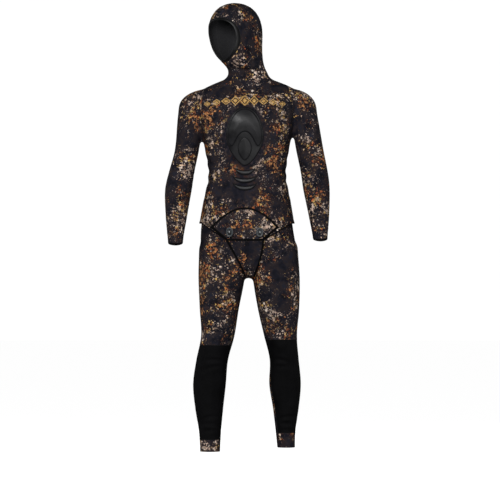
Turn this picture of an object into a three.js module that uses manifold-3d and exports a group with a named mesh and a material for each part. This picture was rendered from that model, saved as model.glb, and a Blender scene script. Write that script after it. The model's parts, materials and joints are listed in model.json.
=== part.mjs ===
// A two-piece hooded freediving wetsuit, as it sits on its wearer: a jacket with an attached hood and a
// beavertail, and high-waist trousers under it. Each sewn panel is its own closed solid of neoprene sheet.
// Millimetres, +Z up. The wearer faces -Y, so the wearer's left is +X. The origin is the middle of the waist.
import * as THREE from "three";
import { mergeVertices } from "three/addons/utils/BufferGeometryUtils.js";
import Module from "manifold-3d";

const wasm = await Module();
wasm.setup();

// ---------------------------------------------------------------- driving dimensions

const STATURE = 1800; // height of the wearer that the suit is cut for
const CHEST_GIRTH = 1000; // and the wearer's chest
const PATTERN_STATURE = 1800; // the size that the section tables below are drawn for
const PATTERN_CHEST = 1000;
const TALL = STATURE / PATTERN_STATURE;
const WIDE = CHEST_GIRTH / PATTERN_CHEST;

const WALL = 5; // thickness of the neoprene sheet
const SEAM_GAP = 0.3; // between two glued panel edges
const LAYER_GAP = 0.6; // between the jacket and what it lies on
const GLUE_GAP = 0.3; // under a pad or a fitting

const NECK_SEAM = 338 * TALL; // hood to jacket
const TROUSER_TOP = 95 * TALL; // the trousers' high waist, under the jacket
const HIP_SEAM = -150 * TALL; // waist piece to leg panels
// The left foot is set back and rolled out, so the seams of that leg sit a little higher.
const RIGHT_KNEE_SEAM = -638 * TALL; // thigh panels to knee and calf panels
const LEFT_KNEE_SEAM = -618 * TALL;
const RIGHT_ANKLE_SEAM = -990 * TALL; // lower leg to ankle cuff
const LEFT_ANKLE_SEAM = -966 * TALL;
const RIGHT_ANKLE_HEM = -1034 * TALL;
const LEFT_ANKLE_HEM = -1020 * TALL;
const CUFF_LENGTH = 34; // of the wrist seal, which is smooth inside and printed outside
const JACKET_WAIST_SEAM = 60 * TALL; // the jacket's upper panels to its lower ones
const SIDE_SEAM_Y = 6 * WIDE; // front panels to back panels
const SLEEVE_SEAM_Y = 10 * WIDE; // front to back panels of the sleeves, at the waist's height
const SLEEVE_SEAM_LEAN = 0.09; // how far that seam leans forward on its way down the arm
const CALF_SEAM_Y = 22 * WIDE; // knee and shin pads to calf panels
const WRIST_SLOPE = 0.28; // of the wrist's cut, which is square to the hanging forearm

const HEM_SIDE = -190 * TALL; // the jacket's lower edge at the hips
const HEM_CENTRE = -251 * TALL; // and at the middle of the front and back
const HEM_FLAT = 68 * WIDE; // half width of the level stretch in the middle
const HEM_CORNER = 168 * WIDE; // where the edge levels out at the hip

const MIDLINE = -8 * WIDE; // the chest and belly face a little to the wearer's right, by this much in front
const FACE_TURN = -40; // degrees that the hood faces to the wearer's right
const FACE_TOP = 558 * TALL;
const FACE_BOTTOM = 412 * TALL;
const FACE_HALF_WIDTH = 66 * WIDE;
const FACE_WIDEST = 500 * TALL;
const FACE_SEAL = 9; // width of the smooth-skin rim
const HEAD_AXIS = [-38 * WIDE, -10 * WIDE, 0]; // the head's upright axis passes here

const TAIL_HINGE = -352 * TALL; // where the beavertail's front folds down
const TAIL_BEND = -262 * TALL; // where it has climbed over the jacket's edge
const TAIL_TOP = -132 * TALL; // top of its lens-shaped head
const TAIL_CORNER_Z = -204 * TALL;
const TAIL_CORNER_X = 124 * WIDE; // from the midline
const TAIL_STRAP_TOP = 70 * WIDE; // half width of the strap where the head begins
const TAIL_STRAP_LOW = 32 * WIDE; // and at the crotch
const TAIL_CLEARANCE = 3; // from the thighs, so that it folds down past them
const CROTCH_X = 9 * WIDE; // between the legs

const CLIP_SPACING = 106; // between the two twist clips
const CLIP_Z = -221 * TALL;
const KNOB_LENGTH = 19;
const KNOB_WIDTH = 9;
const KNOB_HEIGHT = 5;
const SLOT_CLEARANCE = 3.2; // between the knob and the eyelet's slot, all round
const EYELET_RIM = 3.4; // width of the eyelet's flange
const EYELET_FLANGE = 1.6; // and its thickness
const EYELET_WALL = 1.4; // the sleeve that lines the slot
const POST_RADIUS = 3;
const POST_CLEARANCE = 0.25; // turning fit of the knob on its post
const FLANGE_RADIUS = 13; // the post's foot, sunk into the jacket
const FLANGE_THICKNESS = 2;
const FLANGE_SINK = 0.8; // its face lies this far below the jacket's
const RIVET_RADIUS = 4.4;
const RIVET_THICKNESS = 1.4;
const TURN_GAP = 0.5; // above and below the knob

const PAD_THICKNESS = 2;
const RIDGE_THICKNESS = 2.4; // of the raised shapes on the loading pad
const RIB_THICKNESS = 3;

// ---------------------------------------------------------------- sections of the body

// Each row is one level section, at a landmark that the shape turns on: its height, the centre's x and y, the
// half width, the depth in front of the centre and behind it, and its turn in degrees.
// The trunk is the jacket's outer face. Below its edge it runs on as the jacket would, down to the crotch.
const TRUNK = [
  [-390, 9, 6, 104, 74, 90, 0], // crotch
  [-345, 7, 6, 146, 96, 116, 0],
  [-290, 5, 6, 178, 107, 132, 0], // seat
  [-205, 0, 4, 177, 117, 127, 0], // hips
  [-110, 0, 0, 162, 112, 105, 0],
  [-8, 1, 0, 143, 104, 93, 0], // waist
  [80, 0, 0, 155, 115, 104, 0], // ribs
  [180, -1, 2, 175, 130, 118, 0], // chest
  [232, 0, 6, 184, 123, 118, 0], // armpits
  [270, 2, 12, 190, 107, 108, 0],
  [302, 6, 18, 176, 84, 90, 0], // shoulders
  [326, 7, 21, 134, 70, 74, 0],
  [344, 5, 20, 88, 66, 64, 0], // neck
  [370, 3, 15, 72, 65, 57, -8],
  [404, -10, 4, 69, 97, 68, -34], // chin
  [450, -31, -8, 80, 106, 90, -40], // jaw
  [520, -42, -14, 88, 110, 106, -40], // brow
  [560, -43, -14, 87, 108, 106, -40], // crown
];
// The legs are the trousers' outer face, and the arms the jacket's.
const RIGHT_LEG = [
  [-300, -92, 8, 86, 92, 92, 0],
  [-385, -94, 8, 86, 92, 96, 0], // top of the thigh
  [-510, -103, 0, 72, 81, 80, 0],
  [-605, -108, -6, 62, 67, 66, 0], // above the knee
  [-695, -129, -2, 59, 58, 60, 0], // below it
  [-785, -139, 9, 61, 53, 66, 0], // calf
  [-875, -140, 14, 52, 47, 54, 0],
  [-962, -137, 15, 41, 42, 43, 0], // ankle
  [-1060, -137, 12, 36, 43, 43, 0],
];
const LEFT_LEG = [
  [-300, 103, 8, 86, 92, 92, 0],
  [-385, 108, 8, 87, 92, 96, 0],
  [-510, 117, 6, 76, 81, 80, 0],
  [-605, 124, 4, 61, 67, 66, 0],
  [-695, 138, 12, 54, 58, 60, 0],
  [-785, 141, 27, 59, 53, 66, 0],
  [-875, 144, 36, 48, 47, 54, 0],
  [-962, 143, 40, 37, 41, 43, 0],
  [-1060, 147, 38, 31, 41, 42, 0],
];
const RIGHT_ARM = [
  [-300, -263, -42, 26, 31, 31, 0],
  [-250, -264, -36, 29, 32, 32, 0], // wrist
  [-165, -261, -16, 40, 43, 43, 0],
  [-75, -255, 2, 48, 48, 47, 0], // forearm
  [0, -242, 10, 47, 48, 48, 0], // elbow
  [80, -223, 10, 45, 54, 52, 0],
  [215, -206, 13, 49, 60, 58, 0], // upper arm
  [262, -193, 15, 52, 60, 59, 0],
  [306, -152, 18, 54, 58, 58, 0], // shoulder
];
const LEFT_ARM = [
  [-290, 271, -42, 25, 31, 31, 0],
  [-240, 270, -36, 28, 32, 32, 0],
  [-165, 266, -18, 38, 42, 42, 0],
  [-75, 258, 1, 47, 48, 47, 0],
  [0, 249, 9, 50, 49, 48, 0],
  [80, 233, 10, 51, 54, 52, 0],
  [215, 209, 13, 51, 60, 58, 0],
  [262, 198, 15, 52, 60, 59, 0],
  [306, 166, 18, 54, 58, 58, 0],
];

const ROUNDNESS = 2.3; // exponent of the sections' superellipse: 2 is an ellipse
const RING_STEP = 54; // between two rings along a limb
const DOME_RINGS = 4;
const DOME_TIP = 0.12; // share of the section left at a dome's tip
const FAR = 2400; // larger than the suit

// ---------------------------------------------------------------- solids

/** A closed geometry as a manifold-3d solid. */
function solid(geometry) {
  const bare = geometry.index ? geometry.toNonIndexed() : geometry.clone();
  bare.deleteAttribute("normal");
  bare.deleteAttribute("uv");
  const merged = mergeVertices(bare, 1e-3);
  return new wasm.Manifold(
    new wasm.Mesh({
      numProp: 3,
      vertProperties: merged.attributes.position.array,
      triVerts: new Uint32Array(merged.index.array),
    }),
  );
}

/** The heights of a limb's rings: close together in the domes at its ends, RING_STEP apart between them. */
function ringHeights(low, high, domeLow, domeHigh) {
  const heights = [];
  for (let k = 0; k < DOME_RINGS && domeLow; k++)
    heights.push(low + domeLow * (1 - Math.cos((k / DOME_RINGS) * (Math.PI / 2))));
  const from = low + domeLow;
  const to = high - domeHigh;
  const steps = Math.ceil((to - from) / (RING_STEP * TALL));
  for (let k = 0; k <= steps; k++) heights.push(from + ((to - from) * k) / steps);
  for (let k = DOME_RINGS - 1; k >= 0 && domeHigh; k--)
    heights.push(high - domeHigh * (1 - Math.cos((k / DOME_RINGS) * (Math.PI / 2))));
  return heights;
}

/** How much of its section a limb keeps at a height, where its ends close in a dome. */
function domeShare(height, low, high, domeLow, domeHigh) {
  const up = domeLow ? Math.max(0, (low + domeLow - height) / domeLow) : 0;
  const down = domeHigh ? Math.max(0, (height - high + domeHigh) / domeHigh) : 0;
  const along = Math.min(1, Math.max(up, down));
  return Math.max(DOME_TIP, Math.pow(1 - Math.pow(along, ROUNDNESS), 1 / ROUNDNESS));
}

/** A limb of the body: a stack of sections that can be made at any offset from its face. */
class Limb {
  constructor(sections, { low, high, domeLow = 0, domeHigh = 0, columns }) {
    const rows = [...sections].sort((a, b) => a[0] - b[0]);
    this.sections = new THREE.CubicInterpolant(
      rows.map((row) => row[0] * TALL),
      rows.flatMap(([, ...values]) => values),
      6,
    );
    const heights = ringHeights(low, high, domeLow, domeHigh);
    this.geometry = new THREE.CylinderGeometry(1, 1, 1, columns, heights.length - 1);
    this.geometry.rotateX(Math.PI / 2);
    this.geometry.deleteAttribute("normal");
    this.geometry.deleteAttribute("uv");
    this.geometry = mergeVertices(this.geometry);
    const place = this.geometry.attributes.position;
    for (let i = 0; i < place.count; i++) {
      const ring = Math.round((place.getZ(i) + 0.5) * (heights.length - 1));
      const share = domeShare(heights[ring], low, high, domeLow, domeHigh);
      place.setXYZ(i, ...this.point(place.getX(i), place.getY(i), heights[ring], share));
    }
    this.geometry.computeVertexNormals();
  }

  /** The point of the section at a height that lies in the direction (c, s), on its rim or at its middle. */
  point(c, s, height, share) {
    const [x, y, width, front, back, turn] = this.sections.evaluate(height);
    const bulge = (v) => Math.sign(v) * Math.pow(Math.abs(v), 2 / ROUNDNESS);
    const across = share * width * bulge(c);
    const deep = share * (s < 0 ? front : back) * bulge(s);
    const angle = THREE.MathUtils.degToRad(turn);
    return [
      WIDE * (x + across * Math.cos(angle) - deep * Math.sin(angle)),
      WIDE * (y + across * Math.sin(angle) + deep * Math.cos(angle)),
      height,
    ];
  }

  /** The limb as a solid whose face lies this far outside its own, a distance or a function of height. */
  offset(distance) {
    const grown = this.geometry.clone();
    const place = grown.attributes.position;
    const normal = grown.attributes.normal;
    for (let i = 0; i < place.count; i++) {
      const by = typeof distance === "function" ? distance(place.getZ(i)) : distance;
      place.setXYZ(
        i,
        place.getX(i) + by * normal.getX(i),
        place.getY(i) + by * normal.getY(i),
        place.getZ(i) + by * normal.getZ(i),
      );
    }
    return solid(grown);
  }

  /** The wall of sheet between two offsets. */
  wall(inner, outer) {
    return this.offset(outer).subtract(this.offset(inner));
  }
}

/** Everything on the side of a plane that its normal points to, half a gap away from it. */
function beyond(point, normal, gap = SEAM_GAP) {
  const towards = new THREE.Vector3(...normal).normalize();
  const block = new THREE.BoxGeometry(FAR, FAR, FAR).translate(0, 0, FAR / 2 + gap / 2);
  block.applyQuaternion(new THREE.Quaternion().setFromUnitVectors(new THREE.Vector3(0, 0, 1), towards));
  return solid(block.translate(...point));
}
const above = (height, gap) => beyond([0, 0, height], [0, 0, 1], gap);
const below = (height, gap) => beyond([0, 0, height], [0, 0, -1], gap);
const between = (low, high, gap) => above(low, gap).intersect(below(high, gap));
const frontOf = (y) => beyond([0, y, 0], [0, -1, 0]);
const behind = (y) => beyond([0, y, 0], [0, 1, 0]);
const leftOf = (x) => beyond([x, 0, 0], [1, 0, 0]);
const rightOf = (x) => beyond([x, 0, 0], [-1, 0, 0]);

/** An outline drawn on the front view, x across and z up, pushed through the suit from one y to another. */
function through(shape, fromY, toY) {
  const bar = new THREE.ExtrudeGeometry(shape, { depth: toY - fromY, bevelEnabled: false, curveSegments: 6 });
  return solid(bar.rotateX(Math.PI / 2).translate(0, toY, 0));
}

// ---------------------------------------------------------------- outlines

/** Everything above the jacket's lower edge, which dips to a level stretch at the middle. */
function aboveHem() {
  const shape = new THREE.Shape();
  const soften = 34 * WIDE;
  const ease = 18 * TALL;
  shape.moveTo(-FAR, HEM_SIDE);
  shape.lineTo(-HEM_CORNER, HEM_SIDE);
  shape.quadraticCurveTo(MIDLINE - HEM_FLAT - soften, HEM_CENTRE + ease, MIDLINE - HEM_FLAT, HEM_CENTRE);
  shape.lineTo(MIDLINE + HEM_FLAT, HEM_CENTRE);
  shape.quadraticCurveTo(MIDLINE + HEM_FLAT + soften, HEM_CENTRE + ease, HEM_CORNER, HEM_SIDE);
  shape.lineTo(FAR, HEM_SIDE);
  shape.lineTo(FAR, FAR);
  shape.lineTo(-FAR, FAR);
  shape.closePath();
  return through(shape, -FAR, FAR);
}

/** The beavertail's front: a strap that widens up from the crotch into a lens-shaped head. */
function tailFrontShape() {
  const shape = new THREE.Shape();
  const waist = HEM_CENTRE + 2;
  const half = -300 * TALL; // where the strap's edges turn
  const inset = 20 * WIDE;
  const crown = 0.48 * TAIL_CORNER_X;
  shape.moveTo(CROTCH_X - TAIL_STRAP_LOW, TAIL_HINGE);
  shape.lineTo(CROTCH_X + TAIL_STRAP_LOW, TAIL_HINGE);
  shape.quadraticCurveTo(TAIL_STRAP_TOP - inset / 2, half, MIDLINE + TAIL_STRAP_TOP, waist);
  shape.lineTo(MIDLINE + TAIL_CORNER_X, TAIL_CORNER_Z);
  shape.quadraticCurveTo(MIDLINE + crown, TAIL_TOP, MIDLINE, TAIL_TOP);
  shape.quadraticCurveTo(MIDLINE - crown, TAIL_TOP, MIDLINE - TAIL_CORNER_X, TAIL_CORNER_Z);
  shape.lineTo(MIDLINE - TAIL_STRAP_TOP, waist);
  shape.quadraticCurveTo(inset - TAIL_STRAP_TOP, half, CROTCH_X - TAIL_STRAP_LOW, TAIL_HINGE);
  return shape;
}

/** The beavertail's back, from the jacket's edge down to the crotch. */
function tailBackShape() {
  const shape = new THREE.Shape();
  const low = -FAR;
  const narrow = -372 * TALL;
  const half = -320 * TALL;
  const inset = 24 * WIDE;
  shape.moveTo(CROTCH_X - TAIL_STRAP_LOW, low);
  shape.lineTo(CROTCH_X + TAIL_STRAP_LOW, low);
  shape.lineTo(CROTCH_X + TAIL_STRAP_LOW, narrow);
  shape.quadraticCurveTo(TAIL_STRAP_TOP - inset, half, TAIL_STRAP_TOP, HEM_CENTRE);
  shape.lineTo(-TAIL_STRAP_TOP, HEM_CENTRE);
  shape.quadraticCurveTo(inset - TAIL_STRAP_TOP, half, CROTCH_X - TAIL_STRAP_LOW, narrow);
  shape.closePath();
  return shape;
}

/** The face opening, drawn about the face's own middle: a round brow that runs to a point at the chin. */
function faceShape(grow) {
  const shape = new THREE.Shape();
  const half = FACE_HALF_WIDTH + grow;
  const top = FACE_TOP + grow;
  const bottom = FACE_BOTTOM - grow;
  const rise = 0.9 * (top - FACE_WIDEST);
  shape.moveTo(0, bottom);
  shape.bezierCurveTo(half * 0.55, bottom + 4, half, FACE_WIDEST - rise, half, FACE_WIDEST);
  shape.bezierCurveTo(half, FACE_WIDEST + rise * 0.8, half * 0.6, top, 0, top);
  shape.bezierCurveTo(-half * 0.6, top, -half, FACE_WIDEST + rise * 0.8, -half, FACE_WIDEST);
  shape.bezierCurveTo(-half, FACE_WIDEST - rise, -half * 0.55, bottom + 4, 0, bottom);
  return shape;
}

/** Draws an outline that is the same on both sides of the midline, from its top down its left half. */
function mirrored(top, curves) {
  const shape = new THREE.Shape();
  const place = ([x, z], side) => [MIDLINE + side * x * WIDE, z * TALL];
  const points = [[0, top], ...curves.flat()];
  shape.moveTo(...place(points[0], 1));
  for (let i = 1; i < points.length; i += 3)
    shape.bezierCurveTo(...points.slice(i, i + 3).flatMap((point) => place(point, 1)));
  for (let i = points.length - 2; i > 0; i -= 3)
    shape.bezierCurveTo(...[points[i], points[i - 1], points[i - 2]].flatMap((point) => place(point, -1)));
  return shape;
}

/** The loading pad on the breastbone: a round dome that narrows to a blunt tip. */
const padShape = () =>
  mirrored(238, [
    [[36, 238], [68, 190], [70, 134]],
    [[72, 88], [26, 24], [0, 20]],
  ]);

/** The raised plate of the pad: a dome whose lower edge is cut back in an arch. */
const archShape = () =>
  mirrored(230, [
    [[34, 230], [62, 184], [64, 136]],
    [[65, 110], [56, 92], [48, 92]],
    [[34, 96], [28, 144], [0, 146]],
  ]);

/** The raised teardrop inside the arch. */
const coreShape = () =>
  mirrored(126, [
    [[10, 126], [26, 106], [26, 86]],
    [[26, 66], [10, 42], [0, 40]],
  ]);

/** One bending rib below the loading pad: a crescent that sags to the given height. */
const ribShape = (low, half) =>
  mirrored(low + 10, [
    [[half * 0.5, low + 10], [half * 0.9, low + 18], [half, low + 22]],
    [[half * 0.8, low + 2], [half * 0.4, low - 4], [0, low - 4]],
  ]);

// ---------------------------------------------------------------- the suit

const suit = new THREE.Group();
const camouflage = new THREE.MeshStandardMaterial({ color: 0x3a2f28, roughness: 0.9, metalness: 0 });
const blackNylon = new THREE.MeshStandardMaterial({ color: 0x0b0b0c, roughness: 0.85, metalness: 0 });
const smoothSkin = new THREE.MeshStandardMaterial({ color: 0x111113, roughness: 0.5, metalness: 0 });
const padRubber = new THREE.MeshStandardMaterial({ color: 0x1a1a1e, roughness: 0.55, metalness: 0 });
const clipPlastic = new THREE.MeshStandardMaterial({ color: 0x3b4044, roughness: 0.4, metalness: 0 });
const clipMetal = new THREE.MeshStandardMaterial({ color: 0x9a9da0, roughness: 0.35, metalness: 1 });

/** Adds a solid to the suit as one named piece. */
function addPiece(name, piece, material) {
  const { numProp, numVert, vertProperties, triVerts } = piece.getMesh();
  const place = new Float32Array(numVert * 3);
  for (let i = 0; i < numVert; i++)
    place.set(vertProperties.subarray(i * numProp, i * numProp + 3), i * 3);
  const geometry = new THREE.BufferGeometry();
  geometry.setAttribute("position", new THREE.BufferAttribute(place, 3));
  geometry.setIndex(new THREE.BufferAttribute(new Uint32Array(triVerts), 1));
  const mesh = new THREE.Mesh(geometry, material);
  mesh.name = name;
  suit.add(mesh);
}

const trunk = new Limb(TRUNK, {
  low: -392 * TALL,
  high: 625 * TALL,
  domeLow: 62 * TALL,
  domeHigh: 112 * TALL,
  columns: 20,
});
const limbs = {
  right: {
    arm: new Limb(RIGHT_ARM, { low: -300 * TALL, high: 308 * TALL, domeHigh: 62 * TALL, columns: 12 }),
    leg: new Limb(RIGHT_LEG, { low: -1060 * TALL, high: -230 * TALL, domeHigh: 60 * TALL, columns: 14 }),
    kneeSeam: RIGHT_KNEE_SEAM,
    ankleSeam: RIGHT_ANKLE_SEAM,
    ankleHem: RIGHT_ANKLE_HEM,
    wrist: [-264 * WIDE, -37 * WIDE, -262 * TALL],
    calfFacing: [-0.12, 1, 0], // the way that the calf panel faces
    seamX: -100 * WIDE,
  },
  left: {
    arm: new Limb(LEFT_ARM, { low: -290 * TALL, high: 308 * TALL, domeHigh: 62 * TALL, columns: 12 }),
    leg: new Limb(LEFT_LEG, { low: -1060 * TALL, high: -230 * TALL, domeHigh: 60 * TALL, columns: 14 }),
    kneeSeam: LEFT_KNEE_SEAM,
    ankleSeam: LEFT_ANKLE_SEAM,
    ankleHem: LEFT_ANKLE_HEM,
    wrist: [270 * WIDE, -37 * WIDE, -247 * TALL],
    calfFacing: [-0.5, 1, 0],
    seamX: 130 * WIDE,
  },
};

/** The point of the trunk's outer face that is seen from the front at a place. */
function frontFace(x, z) {
  const ray = new THREE.Raycaster(new THREE.Vector3(x, -FAR, z), new THREE.Vector3(0, 1, 0));
  return ray.intersectObject(new THREE.Mesh(trunk.geometry))[0].point;
}

/** A limb's whole inside, which is cut out of whatever it passes through. */
const hollow = (limb) => limb.offset(-WALL);

/** The jacket: front and back panels, each in an upper and a lower part, with holes where the arms pass. */
function addJacket() {
  const body = trunk
    .wall(-WALL, 0)
    .intersect(aboveHem())
    .intersect(below(NECK_SEAM))
    .subtract(hollow(limbs.left.arm))
    .subtract(hollow(limbs.right.arm));
  const upper = body.intersect(above(JACKET_WAIST_SEAM));
  const lower = clips.reduce(
    (panel, clip) => panel.subtract(clip.foot(SEAM_GAP)),
    body.intersect(below(JACKET_WAIST_SEAM)),
  );
  addPiece("jacket_front_upper_panel", upper.intersect(frontOf(SIDE_SEAM_Y)), camouflage);
  addPiece("jacket_front_lower_panel", lower.intersect(frontOf(SIDE_SEAM_Y)), camouflage);
  addPiece("jacket_back_upper_panel", upper.intersect(behind(SIDE_SEAM_Y)), camouflage);
  addPiece("jacket_back_lower_panel", lower.intersect(behind(SIDE_SEAM_Y)), camouflage);
}

/** The hood: two halves that meet along the head's own middle, and the rim of the face opening. */
function addHood() {
  const turn = THREE.MathUtils.degToRad(FACE_TURN);
  const place = (bar) => bar.rotate([0, 0, FACE_TURN]).translate(HEAD_AXIS);
  const shell = trunk.wall(-WALL, 0).intersect(above(NECK_SEAM));
  const opening = (grow) => place(through(faceShape(grow), -FAR, 0));
  const halves = shell.subtract(opening(FACE_SEAL));
  const across = [Math.cos(turn), Math.sin(turn), 0];
  const other = across.map((v) => -v);
  addPiece("hood_left_panel", halves.intersect(beyond(HEAD_AXIS, across)), camouflage);
  addPiece("hood_right_panel", halves.intersect(beyond(HEAD_AXIS, other)), camouflage);
  const rim = shell.intersect(opening(FACE_SEAL - SEAM_GAP)).subtract(opening(0));
  addPiece("hood_face_seal", rim, smoothSkin);
}

/** One sleeve: a front and a back panel that butt on the jacket's armhole, and the wrist seal. */
function addSleeve(side, { arm, wrist }) {
  const down = [0, WRIST_SLOPE, -1];
  const cuffTop = [wrist[0], wrist[1] - WRIST_SLOPE * CUFF_LENGTH, wrist[2] + CUFF_LENGTH];
  const up = down.map((v) => -v);
  const tube = arm.wall(-WALL, 0).subtract(trunk.offset(SEAM_GAP)).intersect(beyond(wrist, up, 0));
  const sleeve = tube.intersect(beyond(cuffTop, up));
  const seam = [0, SLEEVE_SEAM_Y, 0];
  const ahead = [0, -1, SLEEVE_SEAM_LEAN];
  addPiece(`${side}_sleeve_front_panel`, sleeve.intersect(beyond(seam, ahead)), camouflage);
  addPiece(`${side}_sleeve_back_panel`, sleeve.intersect(beyond(seam, ahead.map((v) => -v))), camouflage);
  addPiece(`${side}_wrist_cuff`, tube.intersect(beyond(cuffTop, down)), camouflage);
}

/** The trousers: a high waist, four thigh panels, and below each knee a shin pad, a calf panel and a cuff. */
function addTrousers() {
  const skin = WALL + LAYER_GAP; // the trousers lie this far inside the jacket's outer face
  const outside = trunk.offset(-skin).add(limbs.left.leg.offset(0)).add(limbs.right.leg.offset(0));
  const inside = trunk.offset(-skin - WALL).add(hollow(limbs.left.leg)).add(hollow(limbs.right.leg));
  const waist = trunk.wall(-skin - WALL, -skin).intersect(between(HIP_SEAM, TROUSER_TOP));
  addPiece("trouser_waist_front_panel", waist.intersect(frontOf(SIDE_SEAM_Y)), blackNylon);
  addPiece("trouser_waist_back_panel", waist.intersect(behind(SIDE_SEAM_Y)), blackNylon);
  const shell = outside.subtract(inside).intersect(below(HIP_SEAM));
  for (const [side, half] of [["left", leftOf(CROTCH_X)], ["right", rightOf(CROTCH_X)]]) {
    const { kneeSeam, ankleSeam, ankleHem, calfFacing, seamX } = limbs[side];
    const leg = shell.intersect(half);
    const thigh = leg.intersect(above(kneeSeam));
    addPiece(`${side}_thigh_front_panel`, thigh.intersect(frontOf(SIDE_SEAM_Y)), camouflage);
    addPiece(`${side}_thigh_back_panel`, thigh.intersect(behind(SIDE_SEAM_Y)), camouflage);
    const lower = leg.intersect(between(ankleSeam, kneeSeam));
    const seam = [seamX, CALF_SEAM_Y, 0];
    const ahead = calfFacing.map((v) => -v);
    addPiece(`${side}_knee_shin_pad`, lower.intersect(beyond(seam, ahead)), blackNylon);
    addPiece(`${side}_calf_panel`, lower.intersect(beyond(seam, calfFacing)), camouflage);
    const cuff = leg.intersect(below(ankleSeam)).intersect(above(ankleHem, 0));
    addPiece(`${side}_ankle_cuff`, cuff, camouflage);
  }
}

/** The beavertail: its back runs between the legs, and its front folds down from the crotch. */
function addTail() {
  const lift = (height) => {
    const t = THREE.MathUtils.smoothstep(height, TAIL_HINGE, TAIL_BEND);
    return THREE.MathUtils.lerp(-WALL, LAYER_GAP, t);
  };
  const clearOfLegs = (strap, gap) =>
    strap.subtract(limbs.left.leg.offset(gap)).subtract(limbs.right.leg.offset(gap));
  const sheet = trunk.wall(lift, (height) => lift(height) + WALL);
  const hinge = frontFace(CROTCH_X, TAIL_HINGE); // the fold's line, on the strap's outer face
  const mitre = beyond(hinge.toArray(), [0, -1, 1]); // lets the fold open without lifting the trousers
  const outline = through(tailFrontShape(), -FAR, 0);
  const front = sheet.intersect(outline).intersect(above(TAIL_HINGE)).intersect(mitre);
  addPiece(
    "beavertail_front",
    clips.reduce((flap, clip) => flap.subtract(clip.slot()), clearOfLegs(front, TAIL_CLEARANCE)),
    camouflage,
  );
  const flush = trunk.wall(-WALL, 0).intersect(through(tailBackShape(), -FAR, FAR));
  const back = flush.intersect(
    below(HEM_CENTRE).intersect(behind(0)).add(below(TAIL_HINGE)),
  );
  addPiece("beavertail_back", clearOfLegs(back, SEAM_GAP), camouflage);
}

/** A long outline with round ends, upright, centred on the clip's axis. */
function stadium(length, width) {
  const shape = new THREE.Shape();
  const reach = (length - width) / 2;
  shape.absarc(0, reach, width / 2, 0, Math.PI);
  shape.absarc(0, -reach, width / 2, Math.PI, 2 * Math.PI);
  shape.closePath();
  return shape;
}

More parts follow.
